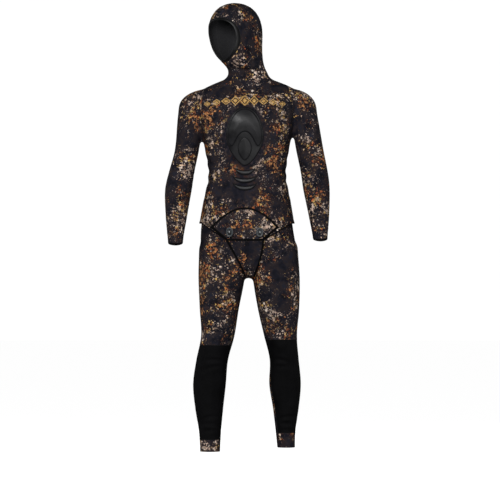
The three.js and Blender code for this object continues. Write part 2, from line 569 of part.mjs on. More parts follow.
/** A twist clip: a post on the jacket, its knob, and the eyelet in the beavertail that the knob passes. */
class TwistClip {
  constructor(side, x) {
    this.side = side;
    const reach = 9; // the slope of the jacket is taken over this much either way
    this.place = frontFace(x, CLIP_Z);
    const across = frontFace(x + reach, CLIP_Z).sub(frontFace(x - reach, CLIP_Z));
    const up = frontFace(x, CLIP_Z + reach).sub(frontFace(x, CLIP_Z - reach));
    this.axis = new THREE.Vector3().crossVectors(across, up).normalize();
    const turn = new THREE.Quaternion().setFromUnitVectors(new THREE.Vector3(0, 0, 1), this.axis);
    const upright = new THREE.Vector3(0, 1, 0).applyQuaternion(turn);
    const wanted = new THREE.Vector3(0, 0, 1).projectOnPlane(this.axis).normalize();
    const roll = new THREE.Quaternion().setFromUnitVectors(upright, wanted);
    this.turn = roll.multiply(turn);
    this.eyeletFace = LAYER_GAP + WALL + GLUE_GAP;
    this.knobFoot = this.eyeletFace + EYELET_FLANGE + TURN_GAP;
    this.postTop = this.knobFoot + KNOB_HEIGHT + TURN_GAP;
  }

  /** A geometry drawn about the clip's axis, with z out from the jacket, as a solid in its place. */
  set(geometry) {
    return solid(geometry.applyQuaternion(this.turn).translate(...this.place.toArray()));
  }

  /** An upright outline from one height above the jacket to another. */
  bar(shape, from, to) {
    const options = { depth: to - from, bevelEnabled: false, curveSegments: 6 };
    return this.set(new THREE.ExtrudeGeometry(shape, options).translate(0, 0, from));
  }

  /** A turned shape, from its outline as radius and height. */
  turned(profile) {
    const outline = profile.map(([r, z]) => new THREE.Vector2(r, z));
    return this.set(new THREE.LatheGeometry(outline, 16).rotateX(Math.PI / 2));
  }

  /** The sunk foot of the post, grown by a gap for the pocket that holds it. */
  foot(gap) {
    const r = FLANGE_RADIUS + gap;
    const floor = -FLANGE_SINK - FLANGE_THICKNESS - gap;
    return this.turned([[0, floor], [r, floor], [r, WALL], [0, WALL]]);
  }

  /** The slot through the beavertail that the eyelet's sleeve lines. */
  slot() {
    const grow = 2 * (SLOT_CLEARANCE + EYELET_WALL + GLUE_GAP);
    return this.bar(stadium(KNOB_LENGTH + grow, KNOB_WIDTH + grow), -WALL, 3 * WALL);
  }

  addTo() {
    const top = this.postTop;
    const post = this.turned([
      [0, -FLANGE_SINK - FLANGE_THICKNESS],
      [FLANGE_RADIUS, -FLANGE_SINK - FLANGE_THICKNESS],
      [FLANGE_RADIUS, -FLANGE_SINK],
      [POST_RADIUS, -FLANGE_SINK],
      [POST_RADIUS, top],
      [0, top],
    ]);
    addPiece(`${this.side}_clip_post`, post, clipPlastic);
    const knob = this.bar(stadium(KNOB_LENGTH, KNOB_WIDTH), this.knobFoot, this.knobFoot + KNOB_HEIGHT);
    const hole = POST_RADIUS + POST_CLEARANCE;
    const bore = this.turned([[0, 0], [hole, 0], [hole, 2 * top], [0, 2 * top]]);
    addPiece(`${this.side}_clip_knob`, knob.subtract(bore), clipPlastic);
    const rivet = this.turned([
      [0, top + GLUE_GAP],
      [RIVET_RADIUS, top + GLUE_GAP],
      [RIVET_RADIUS, top + GLUE_GAP + 0.5 * RIVET_THICKNESS],
      [0.6 * RIVET_RADIUS, top + GLUE_GAP + RIVET_THICKNESS],
      [0, top + GLUE_GAP + RIVET_THICKNESS],
    ]);
    addPiece(`${this.side}_clip_rivet`, rivet, clipMetal);
    const opening = 2 * SLOT_CLEARANCE;
    const sleeve = opening + 2 * EYELET_WALL;
    const flange = sleeve + 2 * EYELET_RIM;
    const ring = (grow, from, to) => this.bar(stadium(KNOB_LENGTH + grow, KNOB_WIDTH + grow), from, to);
    const eyelet = ring(flange, this.eyeletFace, this.eyeletFace + EYELET_FLANGE)
      .add(ring(sleeve, LAYER_GAP + 0.5, this.eyeletFace + 0.1))
      .subtract(ring(opening, -WALL, 2 * top));
    addPiece(`${this.side}_clip_eyelet`, eyelet, clipPlastic);
  }
}
const clips = [
  new TwistClip("right", MIDLINE - CLIP_SPACING / 2),
  new TwistClip("left", MIDLINE + CLIP_SPACING / 2),
];

/** The loading pad on the chest with its raised shapes, and the bending ribs below it. */
function addPads() {
  const layer = (shape, low, thickness) =>
    trunk.wall(low, low + thickness).intersect(through(shape, -FAR, 0));
  addPiece("chest_pad_base", layer(padShape(), GLUE_GAP, PAD_THICKNESS), padRubber);
  const onPad = 2 * GLUE_GAP + PAD_THICKNESS;
  addPiece("chest_pad_arch", layer(archShape(), onPad, RIDGE_THICKNESS), padRubber);
  addPiece("chest_pad_core", layer(coreShape(), onPad, RIDGE_THICKNESS), padRubber);
  const ribs = [["upper", -10, 40], ["middle", -39, 48], ["lower", -66, 47]]; // lowest height, half width
  for (const [name, low, half] of ribs)
    addPiece(`abdomen_rib_${name}`, layer(ribShape(low, half), GLUE_GAP, RIB_THICKNESS), padRubber);
}

addJacket();
addHood();
for (const side of ["left", "right"]) addSleeve(side, limbs[side]);
addTrousers();
addTail();
for (const clip of clips) clip.addTo();
addPads();

export default suit;
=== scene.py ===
"""A two-piece hooded freediving wetsuit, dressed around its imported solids.

The suit hangs as on its wearer, who faces -Y, with the wearer's left on +X. All shapes are drawn in
millimetres and become metres when a piece is finished. The body is a few limbs fused into one form; the form
is cut along its seams into panels, and each panel becomes a sheet of lined neoprene.
"""

import json
import logging
import math
from collections.abc import Callable, Sequence
from dataclasses import dataclass, field
from enum import Enum

import bmesh
import bpy
import numpy as np
from mathutils import Matrix, Vector
from mathutils.bvhtree import BVHTree

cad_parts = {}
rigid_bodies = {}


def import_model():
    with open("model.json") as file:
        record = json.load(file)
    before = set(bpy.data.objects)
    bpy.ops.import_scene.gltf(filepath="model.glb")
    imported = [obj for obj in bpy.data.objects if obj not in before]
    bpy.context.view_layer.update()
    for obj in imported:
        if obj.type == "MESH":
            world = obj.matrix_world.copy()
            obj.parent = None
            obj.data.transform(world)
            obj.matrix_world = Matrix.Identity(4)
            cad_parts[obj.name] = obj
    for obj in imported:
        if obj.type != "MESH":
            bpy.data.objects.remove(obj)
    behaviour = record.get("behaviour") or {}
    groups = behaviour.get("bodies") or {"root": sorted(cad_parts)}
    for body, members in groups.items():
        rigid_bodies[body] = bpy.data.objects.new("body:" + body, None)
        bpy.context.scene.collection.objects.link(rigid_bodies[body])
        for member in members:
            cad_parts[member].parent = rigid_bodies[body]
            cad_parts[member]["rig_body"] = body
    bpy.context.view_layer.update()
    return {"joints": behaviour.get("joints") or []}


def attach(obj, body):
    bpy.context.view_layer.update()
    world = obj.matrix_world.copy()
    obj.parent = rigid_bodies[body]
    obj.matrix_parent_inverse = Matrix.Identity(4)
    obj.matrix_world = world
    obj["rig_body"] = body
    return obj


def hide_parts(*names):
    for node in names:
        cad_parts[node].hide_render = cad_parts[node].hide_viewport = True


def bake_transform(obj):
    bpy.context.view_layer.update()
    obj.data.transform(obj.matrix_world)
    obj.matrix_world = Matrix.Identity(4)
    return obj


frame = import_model()

LOG = logging.getLogger("wetsuit")
Field = Callable[[np.ndarray], np.ndarray]

METRE = 1000.0  # millimetres
ROUNDNESS = 2.3  # exponent of the body's sections: 2 is an ellipse
DOME_TIP = 0.12  # share of the section left at a dome's tip
VOXEL = 5.0  # of the fused body
SNAP = 0.22  # a cut this near a corner of a face goes through the corner

WALL = 5.0  # thickness of the sheet
MIDLINE = -8.0  # the chest faces a little to the wearer's right
CROTCH_X = 9.0
NECK_SEAM = 338.0
JACKET_WAIST_SEAM = 60.0
SIDE_SEAM_Y = 6.0
TROUSER_TOP = 95.0
TROUSER_SINK = 7.2  # the trousers' face below the jacket's, where the jacket covers them
HIP_SEAM = -150.0
HEM_SIDE, HEM_CENTRE, HEM_FLAT, HEM_CORNER = -190.0, -251.0, 68.0, 168.0
WRIST_SLOPE = 0.28
CUFF_LENGTH = 34.0


# --- the wearer's body, as the suit's outer face


class Part(Enum):
    """The limbs that carry the suit."""

    TRUNK = "trunk"
    RIGHT_LEG = "right leg"
    LEFT_LEG = "left leg"
    RIGHT_ARM = "right arm"
    LEFT_ARM = "left arm"


@dataclass(frozen=True)
class Limb:
    """A stack of rounded level sections.

    Each row holds a height, the centre's x and y, the half width, the depth in front and behind, and a turn.
    """

    rows: Sequence[tuple[float, ...]]
    low: float
    high: float
    dome_low: float = 0.0
    dome_high: float = 0.0

    def section(self, height: np.ndarray) -> np.ndarray:
        """The section's six numbers at some heights, on a smooth curve through the rows.

        Args:
            height: the heights.

        Returns:
            One row of six numbers for each height.
        """
        rows = np.array([tuple(r) + (0.0,) * (7 - len(r)) for r in sorted(self.rows)])
        at, value = rows[:, 0], rows[:, 1:]
        z = np.clip(height, at[0], at[-1])
        i = np.clip(np.searchsorted(at, z, side="right"), 1, len(at) - 1)
        before = np.where(i >= 2, i - 2, i)
        after = np.where(i + 1 < len(at), i + 1, i - 1)
        t0, t1 = at[i - 1], at[i]
        wb = 0.5 * (t1 - t0) / (t0 - at[before])
        wa = 0.5 * (t1 - t0) / (at[after] - t1)
        p = (z - t0) / (t1 - t0)
        p2, p3 = p * p, p * p * p
        weights = (
            (before, -wb * p3 + 2 * wb * p2 - wb * p),
            (i - 1, (1 + wb) * p3 + (-1.5 - 2 * wb) * p2 + (-0.5 + wb) * p + 1),
            (i, (-1 - wa) * p3 + (1.5 + wa) * p2 + 0.5 * p),
            (after, wa * p3 - wa * p2),
        )
        return sum(value[k] * w[:, None] for k, w in weights)

    def share(self, height: np.ndarray) -> np.ndarray:
        """How much of its section the limb keeps at some heights, where its ends close in a dome."""
        up = (self.low + self.dome_low - height) / self.dome_low if self.dome_low else 0 * height
        down = (height - self.high + self.dome_high) / self.dome_high if self.dome_high else 0 * height
        along = np.clip(np.maximum(up, down), 0, 1)
        return np.maximum(DOME_TIP, (1 - along**ROUNDNESS) ** (1 / ROUNDNESS))

    def point(self, direction: np.ndarray, height: np.ndarray, grow: float = 0.0) -> np.ndarray:
        """The points of the face in some directions at some heights.

        Args:
            direction: angles round the limb, in radians.
            height: the heights.
            grow: how far outside the face the points lie.

        Returns:
            The points, one row each.
        """
        x, y, half, front, back, turn = self.section(height).T
        c, s = np.cos(direction), np.sin(direction)
        keep = self.share(height)
        across = keep * (half + grow) * np.sign(c) * np.abs(c) ** (2 / ROUNDNESS)
        depth = np.where(s < 0, front, back) + grow
        deep = keep * depth * np.sign(s) * np.abs(s) ** (2 / ROUNDNESS)
        cos, sin = np.cos(np.radians(turn)), np.sin(np.radians(turn))
        return np.stack([x + across * cos - deep * sin, y + across * sin + deep * cos, height], 1)

    def front_face(self, x: np.ndarray, z: np.ndarray) -> np.ndarray:
        """The y of the face that is seen from the front, for unturned sections."""
        cx, cy, half, front, _, _ = self.section(z).T
        u = np.clip(np.abs(x - cx) / half, 0, 0.999)
        return cy - front * (1 - u**ROUNDNESS) ** (1 / ROUNDNESS)

    def shell(self, columns: int, step: float, grow: float = 0.0) -> bmesh.types.BMesh:
        """The limb as a closed shell.

        Args:
            columns: how many faces go round.
            step: the height between two rings.
            grow: how far outside the face the shell lies.

        Returns:
            The shell.
        """
        lows = self.low + self.dome_low * (1 - np.cos(np.linspace(0, math.pi / 2, 7)[:-1]))
        tops = self.high - self.dome_high * (1 - np.cos(np.linspace(math.pi / 2, 0, 7)[1:]))
        start, end = self.low + self.dome_low, self.high - self.dome_high
        middle = np.linspace(start, end, max(2, round((end - start) / step)))
        foot = lows if self.dome_low else lows[:0]
        head = tops if self.dome_high else tops[:0]
        heights = np.concatenate([foot, middle, head])
        bm = bmesh.new()
        bmesh.ops.create_grid(bm, x_segments=columns, y_segments=len(heights) - 1, size=0.5)
        flat = places(bm)
        angle = (flat[:, 0] + 0.5) * 2 * math.pi
        level = heights[np.rint((flat[:, 1] + 0.5) * (len(heights) - 1)).astype(int)]
        set_places(bm, self.point(angle, level, grow))
        bmesh.ops.remove_doubles(bm, verts=bm.verts, dist=1e-3)
        bmesh.ops.holes_fill(bm, edges=[e for e in bm.edges if e.is_boundary], sides=0)
        bmesh.ops.recalc_face_normals(bm, faces=bm.faces)
        return bm


BODY = {
    Part.TRUNK: Limb(
        (
            (-390, 9, 6, 104, 74, 90),  # crotch
            (-345, 7, 6, 146, 96, 116),
            (-290, 5, 6, 178, 107, 132),  # seat
            (-205, 0, 4, 177, 117, 127),  # hips
            (-110, 0, 0, 162, 112, 105),
            (-8, 1, 0, 143, 104, 93),  # waist
            (80, 0, 0, 155, 115, 104),  # ribs
            (180, -1, 2, 175, 130, 118),  # chest
            (232, 0, 6, 184, 123, 118),  # armpits
            (270, 2, 12, 190, 107, 108),
            (302, 6, 18, 176, 84, 90),  # shoulders
            (326, 7, 21, 134, 70, 74),
            (344, 5, 20, 88, 66, 64),  # neck
            (370, 3, 15, 72, 65, 57, -8),
            (404, -10, 4, 69, 97, 68, -34),  # chin
            (450, -31, -8, 80, 106, 90, -40),  # jaw
            (520, -42, -14, 88, 110, 106, -40),  # brow
            (560, -43, -14, 87, 108, 106, -40),  # crown
        ),
        low=-392,
        high=625,
        dome_low=62,
        dome_high=112,
    ),
    Part.RIGHT_LEG: Limb(
        (
            (-300, -92, 8, 86, 92, 92),
            (-385, -94, 8, 86, 92, 96),
            (-510, -103, 0, 72, 81, 80),
            (-605, -108, -6, 62, 67, 66),  # above the knee
            (-695, -129, -2, 59, 58, 60),  # below it
            (-785, -139, 9, 61, 53, 66),  # calf
            (-875, -140, 14, 52, 47, 54),
            (-962, -137, 15, 41, 42, 43),  # ankle
            (-1060, -137, 12, 36, 43, 43),
        ),
        low=-1060,
        high=-230,
        dome_high=60,
    ),
    Part.LEFT_LEG: Limb(
        (
            (-300, 103, 8, 86, 92, 92),
            (-385, 108, 8, 87, 92, 96),
            (-510, 117, 6, 76, 81, 80),
            (-605, 124, 4, 61, 67, 66),
            (-695, 138, 12, 54, 58, 60),
            (-785, 141, 27, 59, 53, 66),
            (-875, 144, 36, 48, 47, 54),
            (-962, 143, 40, 37, 41, 43),
            (-1060, 147, 38, 31, 41, 42),
        ),
        low=-1060,
        high=-230,
        dome_high=60,
    ),
    Part.RIGHT_ARM: Limb(
        (
            (-300, -263, -42, 26, 31, 31),
            (-250, -264, -36, 29, 32, 32),  # wrist
            (-165, -261, -16, 40, 43, 43),
            (-75, -255, 2, 48, 48, 47),  # forearm
            (0, -242, 10, 47, 48, 48),  # elbow
            (80, -223, 10, 45, 54, 52),
            (215, -206, 13, 49, 60, 58),  # upper arm
            (262, -193, 15, 52, 60, 59),
            (306, -152, 18, 54, 58, 58),  # shoulder
        ),
        low=-300,
        high=308,
        dome_high=62,
    ),
    Part.LEFT_ARM: Limb(
        (
            (-290, 271, -42, 25, 31, 31),
            (-240, 270, -36, 28, 32, 32),
            (-165, 266, -18, 38, 42, 42),
            (-75, 258, 1, 47, 48, 47),
            (0, 249, 9, 50, 49, 48),
            (80, 233, 10, 51, 54, 52),
            (215, 209, 13, 51, 60, 58),
            (262, 198, 15, 52, 60, 59),
            (306, 166, 18, 54, 58, 58),
        ),
        low=-290,
        high=308,
        dome_high=62,
    ),
}


@dataclass(frozen=True)
class Bulge:
    """A muscle or a hollow: its middle, its reach each way, its height and its facing."""

    at: tuple[float, float, float]
    reach: tuple[float, float, float]
    height: float
    facing: tuple[float, float, float] = (0.0, 0.0, 0.0)

    def rise(self, place: np.ndarray, normal: np.ndarray) -> np.ndarray:
        """How far each point moves out along its normal."""
        away = (((place - self.at) / self.reach) ** 2).sum(1)
        rise = self.height * np.exp(-away)
        if any(self.facing):
            rise *= np.clip(normal @ np.array(self.facing), 0, 1)
        return rise


@dataclass(frozen=True)
class Fold:
    """A crease: its middle, the way it runs, its facing, half length, width, depth and sag."""

    at: tuple[float, float, float]
    along: tuple[float, float, float]
    facing: tuple[float, float, float]
    length: float
    width: float
    depth: float
    sag: float = 0.0

    def rise(self, place: np.ndarray, normal: np.ndarray) -> np.ndarray:
        """How far each point moves out along its normal: down in the crease and up beside it."""
        run = Vector(self.along).normalized()
        out = Vector(self.facing).normalized()
        over = np.array(out.cross(run).normalized())
        away = place - self.at
        u = away @ np.array(run) / self.length
        v = (away @ over - self.sag * u * u) / self.width
        near = np.exp(-(u**2) - (away @ np.array(out) / (1.4 * self.length)) ** 2)
        facing = np.clip(1.4 * (normal @ np.array(out)), 0, 1)
        return self.depth * near * facing * (0.55 * np.exp(-((np.abs(v) - 1.7) ** 2)) - np.exp(-(v**2)))


FRONT, BACK = (0.0, -1.0, 0.0), (0.0, 1.0, 0.0)
MUSCLES = (
    [Bulge((side * 84 - 4, -120, 222), (52, 200, 34), 6, FRONT) for side in (-1, 1)]  # chest
    + [Bulge((side * 84 - 4, -120, 170), (44, 200, 14), -2.5, FRONT) for side in (-1, 1)]
    + [Bulge((side * 82, 120, 222), (48, 200, 56), 7, BACK) for side in (-1, 1)]  # shoulder blades
    + [Bulge((2, 110, 120), (16, 200, 190), -7, BACK), Bulge((3, 110, -60), (24, 200, 90), -6, BACK)]
    + [Bulge((side * 46, 110, 20), (26, 200, 110), 4, BACK) for side in (-1, 1)]  # beside the spine
    + [Bulge((side * 66 + 5, 120, -278), (54, 200, 56), 11, BACK) for side in (-1, 1)]  # seat
    + [Bulge((5, 130, -300), (12, 200, 66), -9, BACK)]
    + [Bulge((side * 208, 0, 262), (42, 90, 46), 5) for side in (-1, 1)]  # shoulders
    + [Bulge((side * 232, -60, 128), (34, 60, 62), 5, FRONT) for side in (-1, 1)]  # upper arms
    + [Bulge((side * 228, 70, 150), (34, 60, 70), 5, BACK) for side in (-1, 1)]
    + [Bulge((side * 262, 0, -52), (60, 70, 46), 3) for side in (-1, 1)]  # forearms
    + [Bulge((-104, -80, -455), (38, 80, 96), 6, FRONT), Bulge((114, -80, -455), (38, 80, 96), 6, FRONT)]
    + [Bulge((-76, -60, -560), (24, 60, 40), 4, FRONT), Bulge((96, -60, -560), (24, 60, 40), 4, FRONT)]
    + [  # knees
        Bulge((-116, -60, -642), (30, 60, 32), 6, FRONT),
        Bulge((130, -50, -640), (30, 60, 32), 6, FRONT),
    ]
    + [Bulge((-118, 60, -640), (30, 60, 40), -6, BACK), Bulge((131, 70, -640), (30, 60, 40), -6, BACK)]
    + [  # calves
        Bulge((-140, 70, -782), (40, 60, 66), 7, BACK),
        Bulge((142, 88, -782), (40, 60, 66), 7, BACK),
    ]
    + [Bulge((-134, -50, -800), (14, 60, 120), 4, FRONT), Bulge((136, -32, -800), (14, 60, 120), 4, FRONT)]
)
FOLDS = (
    [
        Fold((side * 240, -36, z), (1, 0, side * 0.14), (side * -0.3, -1, 0), 40, 6.5, d, sag)
        for side in (-1, 1)
        for z, d, sag in ((44, 2.6, 8), (22, 3.6, 5), (0, 3.4, -3), (-22, 2.6, -8))
    ]  # inside of the elbows
    + [
        Fold(
            (side * (140 - k * 9), -88, 205 - k * 34), (side, 0, 0.55 + 0.2 * k), FRONT, 52, 8, 3.2 - 0.4 * k
        )
        for side in (-1, 1)
        for k in range(4)
    ]  # fanning out of the armpits
    + [
        Fold((side * 186, -46, 236 - k * 30), (side * 0.75, 0, 1), (side * 0.2, -1, 0), 46, 8, 3)
        for side in (-1, 1)
        for k in range(3)
    ]
    + [
        Fold((side * 118, -50, z), (side, 0, s), (side * 0.7, -1, 0), 58, 10, 2.0, 6)
        for side in (-1, 1)
        for z, s in ((26, 0.25), (-2, 0.05), (-32, -0.12), (-66, -0.3))
    ]  # at the waist
    + [
        Fold((side * 112, 60, z), (side, 0, s), (side * 0.5, 1, 0), 66, 10, 2.6, -6)
        for side in (-1, 1)
        for z, s in ((40, 0.2), (8, 0.05), (-26, -0.1))
    ]
    + [
        Fold(
            (4 + side * (96 + 6 * k), -84, -300 - k * 26),
            (side, 0, 0.9 - 0.25 * k),
            FRONT,
            58,
            8,
            3.6 - 0.4 * k,
        )
        for side in (-1, 1)
        for k in range(4)
    ]  # from the crotch over the thighs
    + [
        Fold((4 + side * 78, 110, -372 - k * 22), (side, 0, -0.12), BACK, 64, 8, 4 - k)
        for side in (-1, 1)
        for k in range(2)
    ]  # under the seat
    + [
        Fold((x, y, z), (1, 0, s), BACK, 46, 7, 4, 5)
        for x, y in ((-120, 60), (132, 72))
        for z, s in ((-600, 0.15), (-628, -0.1), (-656, 0.12), (-684, -0.05))
    ]  # behind the knees
    + [
        Fold((x, y, z), (1, 0, s), FRONT, 44, 7.5, d, -9)
        for x, y in ((-112, -70), (126, -60))
        for z, s, d in ((-592, 0.1, 2.6), (-694, -0.16, 3.4), (-716, 0.12, 2.6))
    ]  # above and below the kneecaps
    + [
        Fold((x, y + side * 30, z), (1, 0, s), (0.2, side, 0), 34, 6.5, 3, 6 * side)
        for x, y in ((-138, 14), (144, 38))
        for side in (-1, 1)
        for z, s in ((-905, 0.2), (-930, -0.15), (-954, 0.1))
    ]  # at the ankles
    + [
        Fold((x, -30, z), (1, 0, s), FRONT, 28, 6, 2.4, 5)
        for x in (-263, 268)
        for z, s in ((-150, 0.2), (-176, -0.2), (-200, 0.15))
    ]
    + [
        Fold((-4, -50, z), (1, 0.1, s), (-0.2, -1, 0), 60, 7, 3.2, 12)
        for z, s in ((396, 0.12), (376, -0.05), (357, 0.1))
    ]  # under the chin
    + [Fold((2, 80, z), (1, 0, 0.03), BACK, 60, 8, 3.2, -6) for z in (398, 374, 350)]
)


# --- mesh work


def places(bm: bmesh.types.BMesh) -> np.ndarray:
    """The places of a mesh's vertices, one row each."""
    return np.array([v.co[:] for v in bm.verts]).reshape(-1, 3)


def normals(bm: bmesh.types.BMesh) -> np.ndarray:
    """The normals of a mesh's vertices, one row each."""
    return np.array([v.normal[:] for v in bm.verts]).reshape(-1, 3)


def set_places(bm: bmesh.types.BMesh, place: np.ndarray) -> None:
    """Moves a mesh's vertices to new places."""
    for vertex, new in zip(bm.verts, place.tolist()):
        vertex.co = new


def joined(shells: Sequence[bmesh.types.BMesh]) -> bmesh.types.BMesh:
    """Several meshes in one, which is the first."""
    whole = shells[0]
    for shell in shells[1:]:
        spare = bpy.data.meshes.new("spare")
        shell.to_mesh(spare)
        whole.from_mesh(spare)
        bpy.data.meshes.remove(spare)
    return whole


def mesh_object(bm: bmesh.types.BMesh, name: str, scale: float = 1 / METRE) -> bpy.types.Object:
    """A new object in the scene with a copy of the mesh, in metres."""
    mesh = bpy.data.meshes.new(name)
    bm.to_mesh(mesh)
    mesh.transform(Matrix.Scale(scale, 4))
    mesh.shade_smooth()
    thing = bpy.data.objects.new(name, mesh)
    bpy.context.scene.collection.objects.link(thing)
    return thing


def settle_modifiers(thing: bpy.types.Object) -> None:
    """Applies an object's modifiers to its mesh."""
    evaluated = thing.evaluated_get(bpy.context.evaluated_depsgraph_get())
    mesh = bpy.data.meshes.new_from_object(evaluated)
    old, name = thing.data, thing.data.name
    thing.modifiers.clear()
    thing.data = mesh
    bpy.data.meshes.remove(old)
    mesh.name = name


def smooth(bm: bmesh.types.BMesh, factor: float) -> None:
    """Smooths a mesh once, every way."""
    every_way = {"use_axis_x": True, "use_axis_y": True, "use_axis_z": True}
    bmesh.ops.smooth_vert(bm, verts=bm.verts, factor=factor, **every_way)


def fused(shells: Sequence[bmesh.types.BMesh], rounds: int) -> bmesh.types.BMesh:
    """Closed shells that overlap, as one smooth shell of small even faces.

    Args:
        shells: the closed shells.
        rounds: how often the result is smoothed.

    Returns:
        The one shell.
    """
    thing = mesh_object(joined(shells), "form", 1.0)
    remesh = thing.modifiers.new("fuse", "REMESH")
    remesh.mode, remesh.voxel_size = "VOXEL", VOXEL
    settle_modifiers(thing)
    bm = bmesh.new()
    bm.from_mesh(thing.data)
    bpy.data.objects.remove(thing)
    for _ in range(rounds):
        smooth(bm, 0.5)
    bm.normal_update()
    return bm


def bezier(*corners: tuple[float, float]) -> list[tuple[float, float]]:
    """Points along a quadratic or cubic curve, without its start."""
    p = np.array(corners, float)
    n = len(p) - 1
    t = np.linspace(0, 1, 13)[1:, None]
    return [tuple(r) for r in sum(math.comb(n, k) * (1 - t) ** (n - k) * t**k * p[k] for k in range(n + 1))]


class Outline:
    """A closed outline on a flat drawing."""

    def __init__(self, points: Sequence[tuple[float, float]]) -> None:
        """Args: points: the corners, in order."""
        self.points = np.array(points, float)

    def distance(self, u: np.ndarray, v: np.ndarray) -> np.ndarray:
        """The distance of some points from the outline, less than nothing inside it.

        Args:
            u: how far across each point lies.
            v: how far up.

        Returns:
            The distances.
        """
        nearest = np.full(len(u), 1e9)
        inside = np.zeros(len(u), bool)
        for (ax, ay), (bx, by) in zip(self.points, np.roll(self.points, -1, 0)):
            ex, ey = bx - ax, by - ay
            length = ex * ex + ey * ey
            if length < 1e-9:
                continue
            t = np.clip(((u - ax) * ex + (v - ay) * ey) / length, 0, 1)
            nearest = np.minimum(nearest, (u - ax - t * ex) ** 2 + (v - ay - t * ey) ** 2)
            if ey:
                inside ^= ((ay > v) != (by > v)) & (u < ax + (v - ay) * ex / ey)
        return np.where(inside, -1, 1) * np.sqrt(nearest)


def mirrored(top: float, *curves: Sequence[tuple[float, float]]) -> Outline:
    """An outline that is the same on both sides of the midline, from its top down one half."""
    half = [(0.0, top)]
    for curve in curves:
        half += bezier(half[-1], *curve)
    other = [(-x, z) for x, z in reversed(half[1:-1])]
    return Outline([(MIDLINE + x, z) for x, z in half + other])


class Cloth:
    """A stretch of sheet as an open surface, that can be cut along lines and parted into panels."""

    def __init__(self, bm: bmesh.types.BMesh) -> None:
        """Args: bm: the surface."""
        self.bm = bm

    def copy(self) -> "Cloth":
        """The same stretch again."""
        return Cloth(self.bm.copy())

    def cut(self, field: Field) -> list[tuple[Vector, Vector, Vector]]:
        """Splits the faces along the line where a field is nothing.

        Args:
            field: gives a number for each place, of which the line is where it changes sign.

        Returns:
            The middle, the run and the normal of each edge on the line.
        """
        bm = self.bm
        bm.normal_update()
        place = places(bm)
        value = field(place)
        for i, v in enumerate(bm.verts):
            v.index = i
        edges = list(bm.edges)
        ends = np.array([(e.verts[0].index, e.verts[1].index) for e in edges])
        crossing = np.flatnonzero(value[ends[:, 0]] * value[ends[:, 1]] < 0)
        corners = list(bm.verts)
        on_line = {corners[k] for k in np.flatnonzero(value == 0)}
        for i in crossing:
            a, b = ends[i]
            if value[a] * value[b] >= 0:
                continue
            t = value[a] / (value[a] - value[b])
            if SNAP < t < 1 - SNAP:
                continue
            k = a if t <= SNAP else b
            corners[k].co = place[a] + t * (place[b] - place[a])
            value[k] = 0
            on_line.add(corners[k])
        for i in crossing:
            a, b = ends[i]
            if value[a] * value[b] >= 0:
                continue
            t = value[a] / (value[a] - value[b])
            _, middle = bmesh.utils.edge_split(edges[i], corners[a], t)
            on_line.add(middle)
        for face in {f for v in on_line for f in v.link_faces}:
            found = [v for v in face.verts if v in on_line]
            if len(found) == 2 and not any(found[1] in e.verts for e in found[0].link_edges):
                bmesh.utils.face_split(face, found[0], found[1])
        bm.normal_update()
        line = {e for v in on_line for e in v.link_edges if e.other_vert(v) in on_line and not e.is_boundary}
        line = sorted(line, key=lambda e: tuple(e.verts[0].co) + tuple(e.verts[1].co))
        return [
            (
                (e.verts[0].co + e.verts[1].co) / 2,
                e.verts[1].co - e.verts[0].co,
                (e.verts[0].normal + e.verts[1].normal).normalized(),
            )
            for e in line
        ]

    def part(self, keep: Field) -> "Cloth":
        """The faces whose middles a field keeps, as a new stretch in one piece.

        Args:
            keep: tells for each place whether it belongs.

        Returns:
            The largest stretch of those faces.
        """
        copy = self.bm.copy()
        middles = np.array([f.calc_center_median()[:] for f in copy.faces]).reshape(-1, 3)
        keeps = keep(middles)
        bmesh.ops.delete(copy, geom=[f for f, k in zip(copy.faces, keeps) if not k], context="FACES")
        left = set(copy.faces)
        stretches = []
        while left:
            start = left.pop()
            stretch, front = [start], [start]
            while front:
                here = front.pop()
                for edge in here.edges:
                    for face in edge.link_faces:
                        if face in left:
                            left.remove(face)
                            stretch.append(face)
                            front.append(face)
            stretches.append(stretch)
        stretches.sort(key=len)
        spare = [f for s in stretches[:-1] for f in s]
        if spare:
            bmesh.ops.delete(copy, geom=spare, context="FACES")
        copy.normal_update()
        return Cloth(copy)

    def shift(self, by: Field) -> None:
        """Moves each vertex out along its normal by what a field gives there."""
        self.bm.normal_update()
        place = places(self.bm)
        set_places(self.bm, place + normals(self.bm) * by(place)[:, None])
        self.bm.normal_update()


# --- finishes


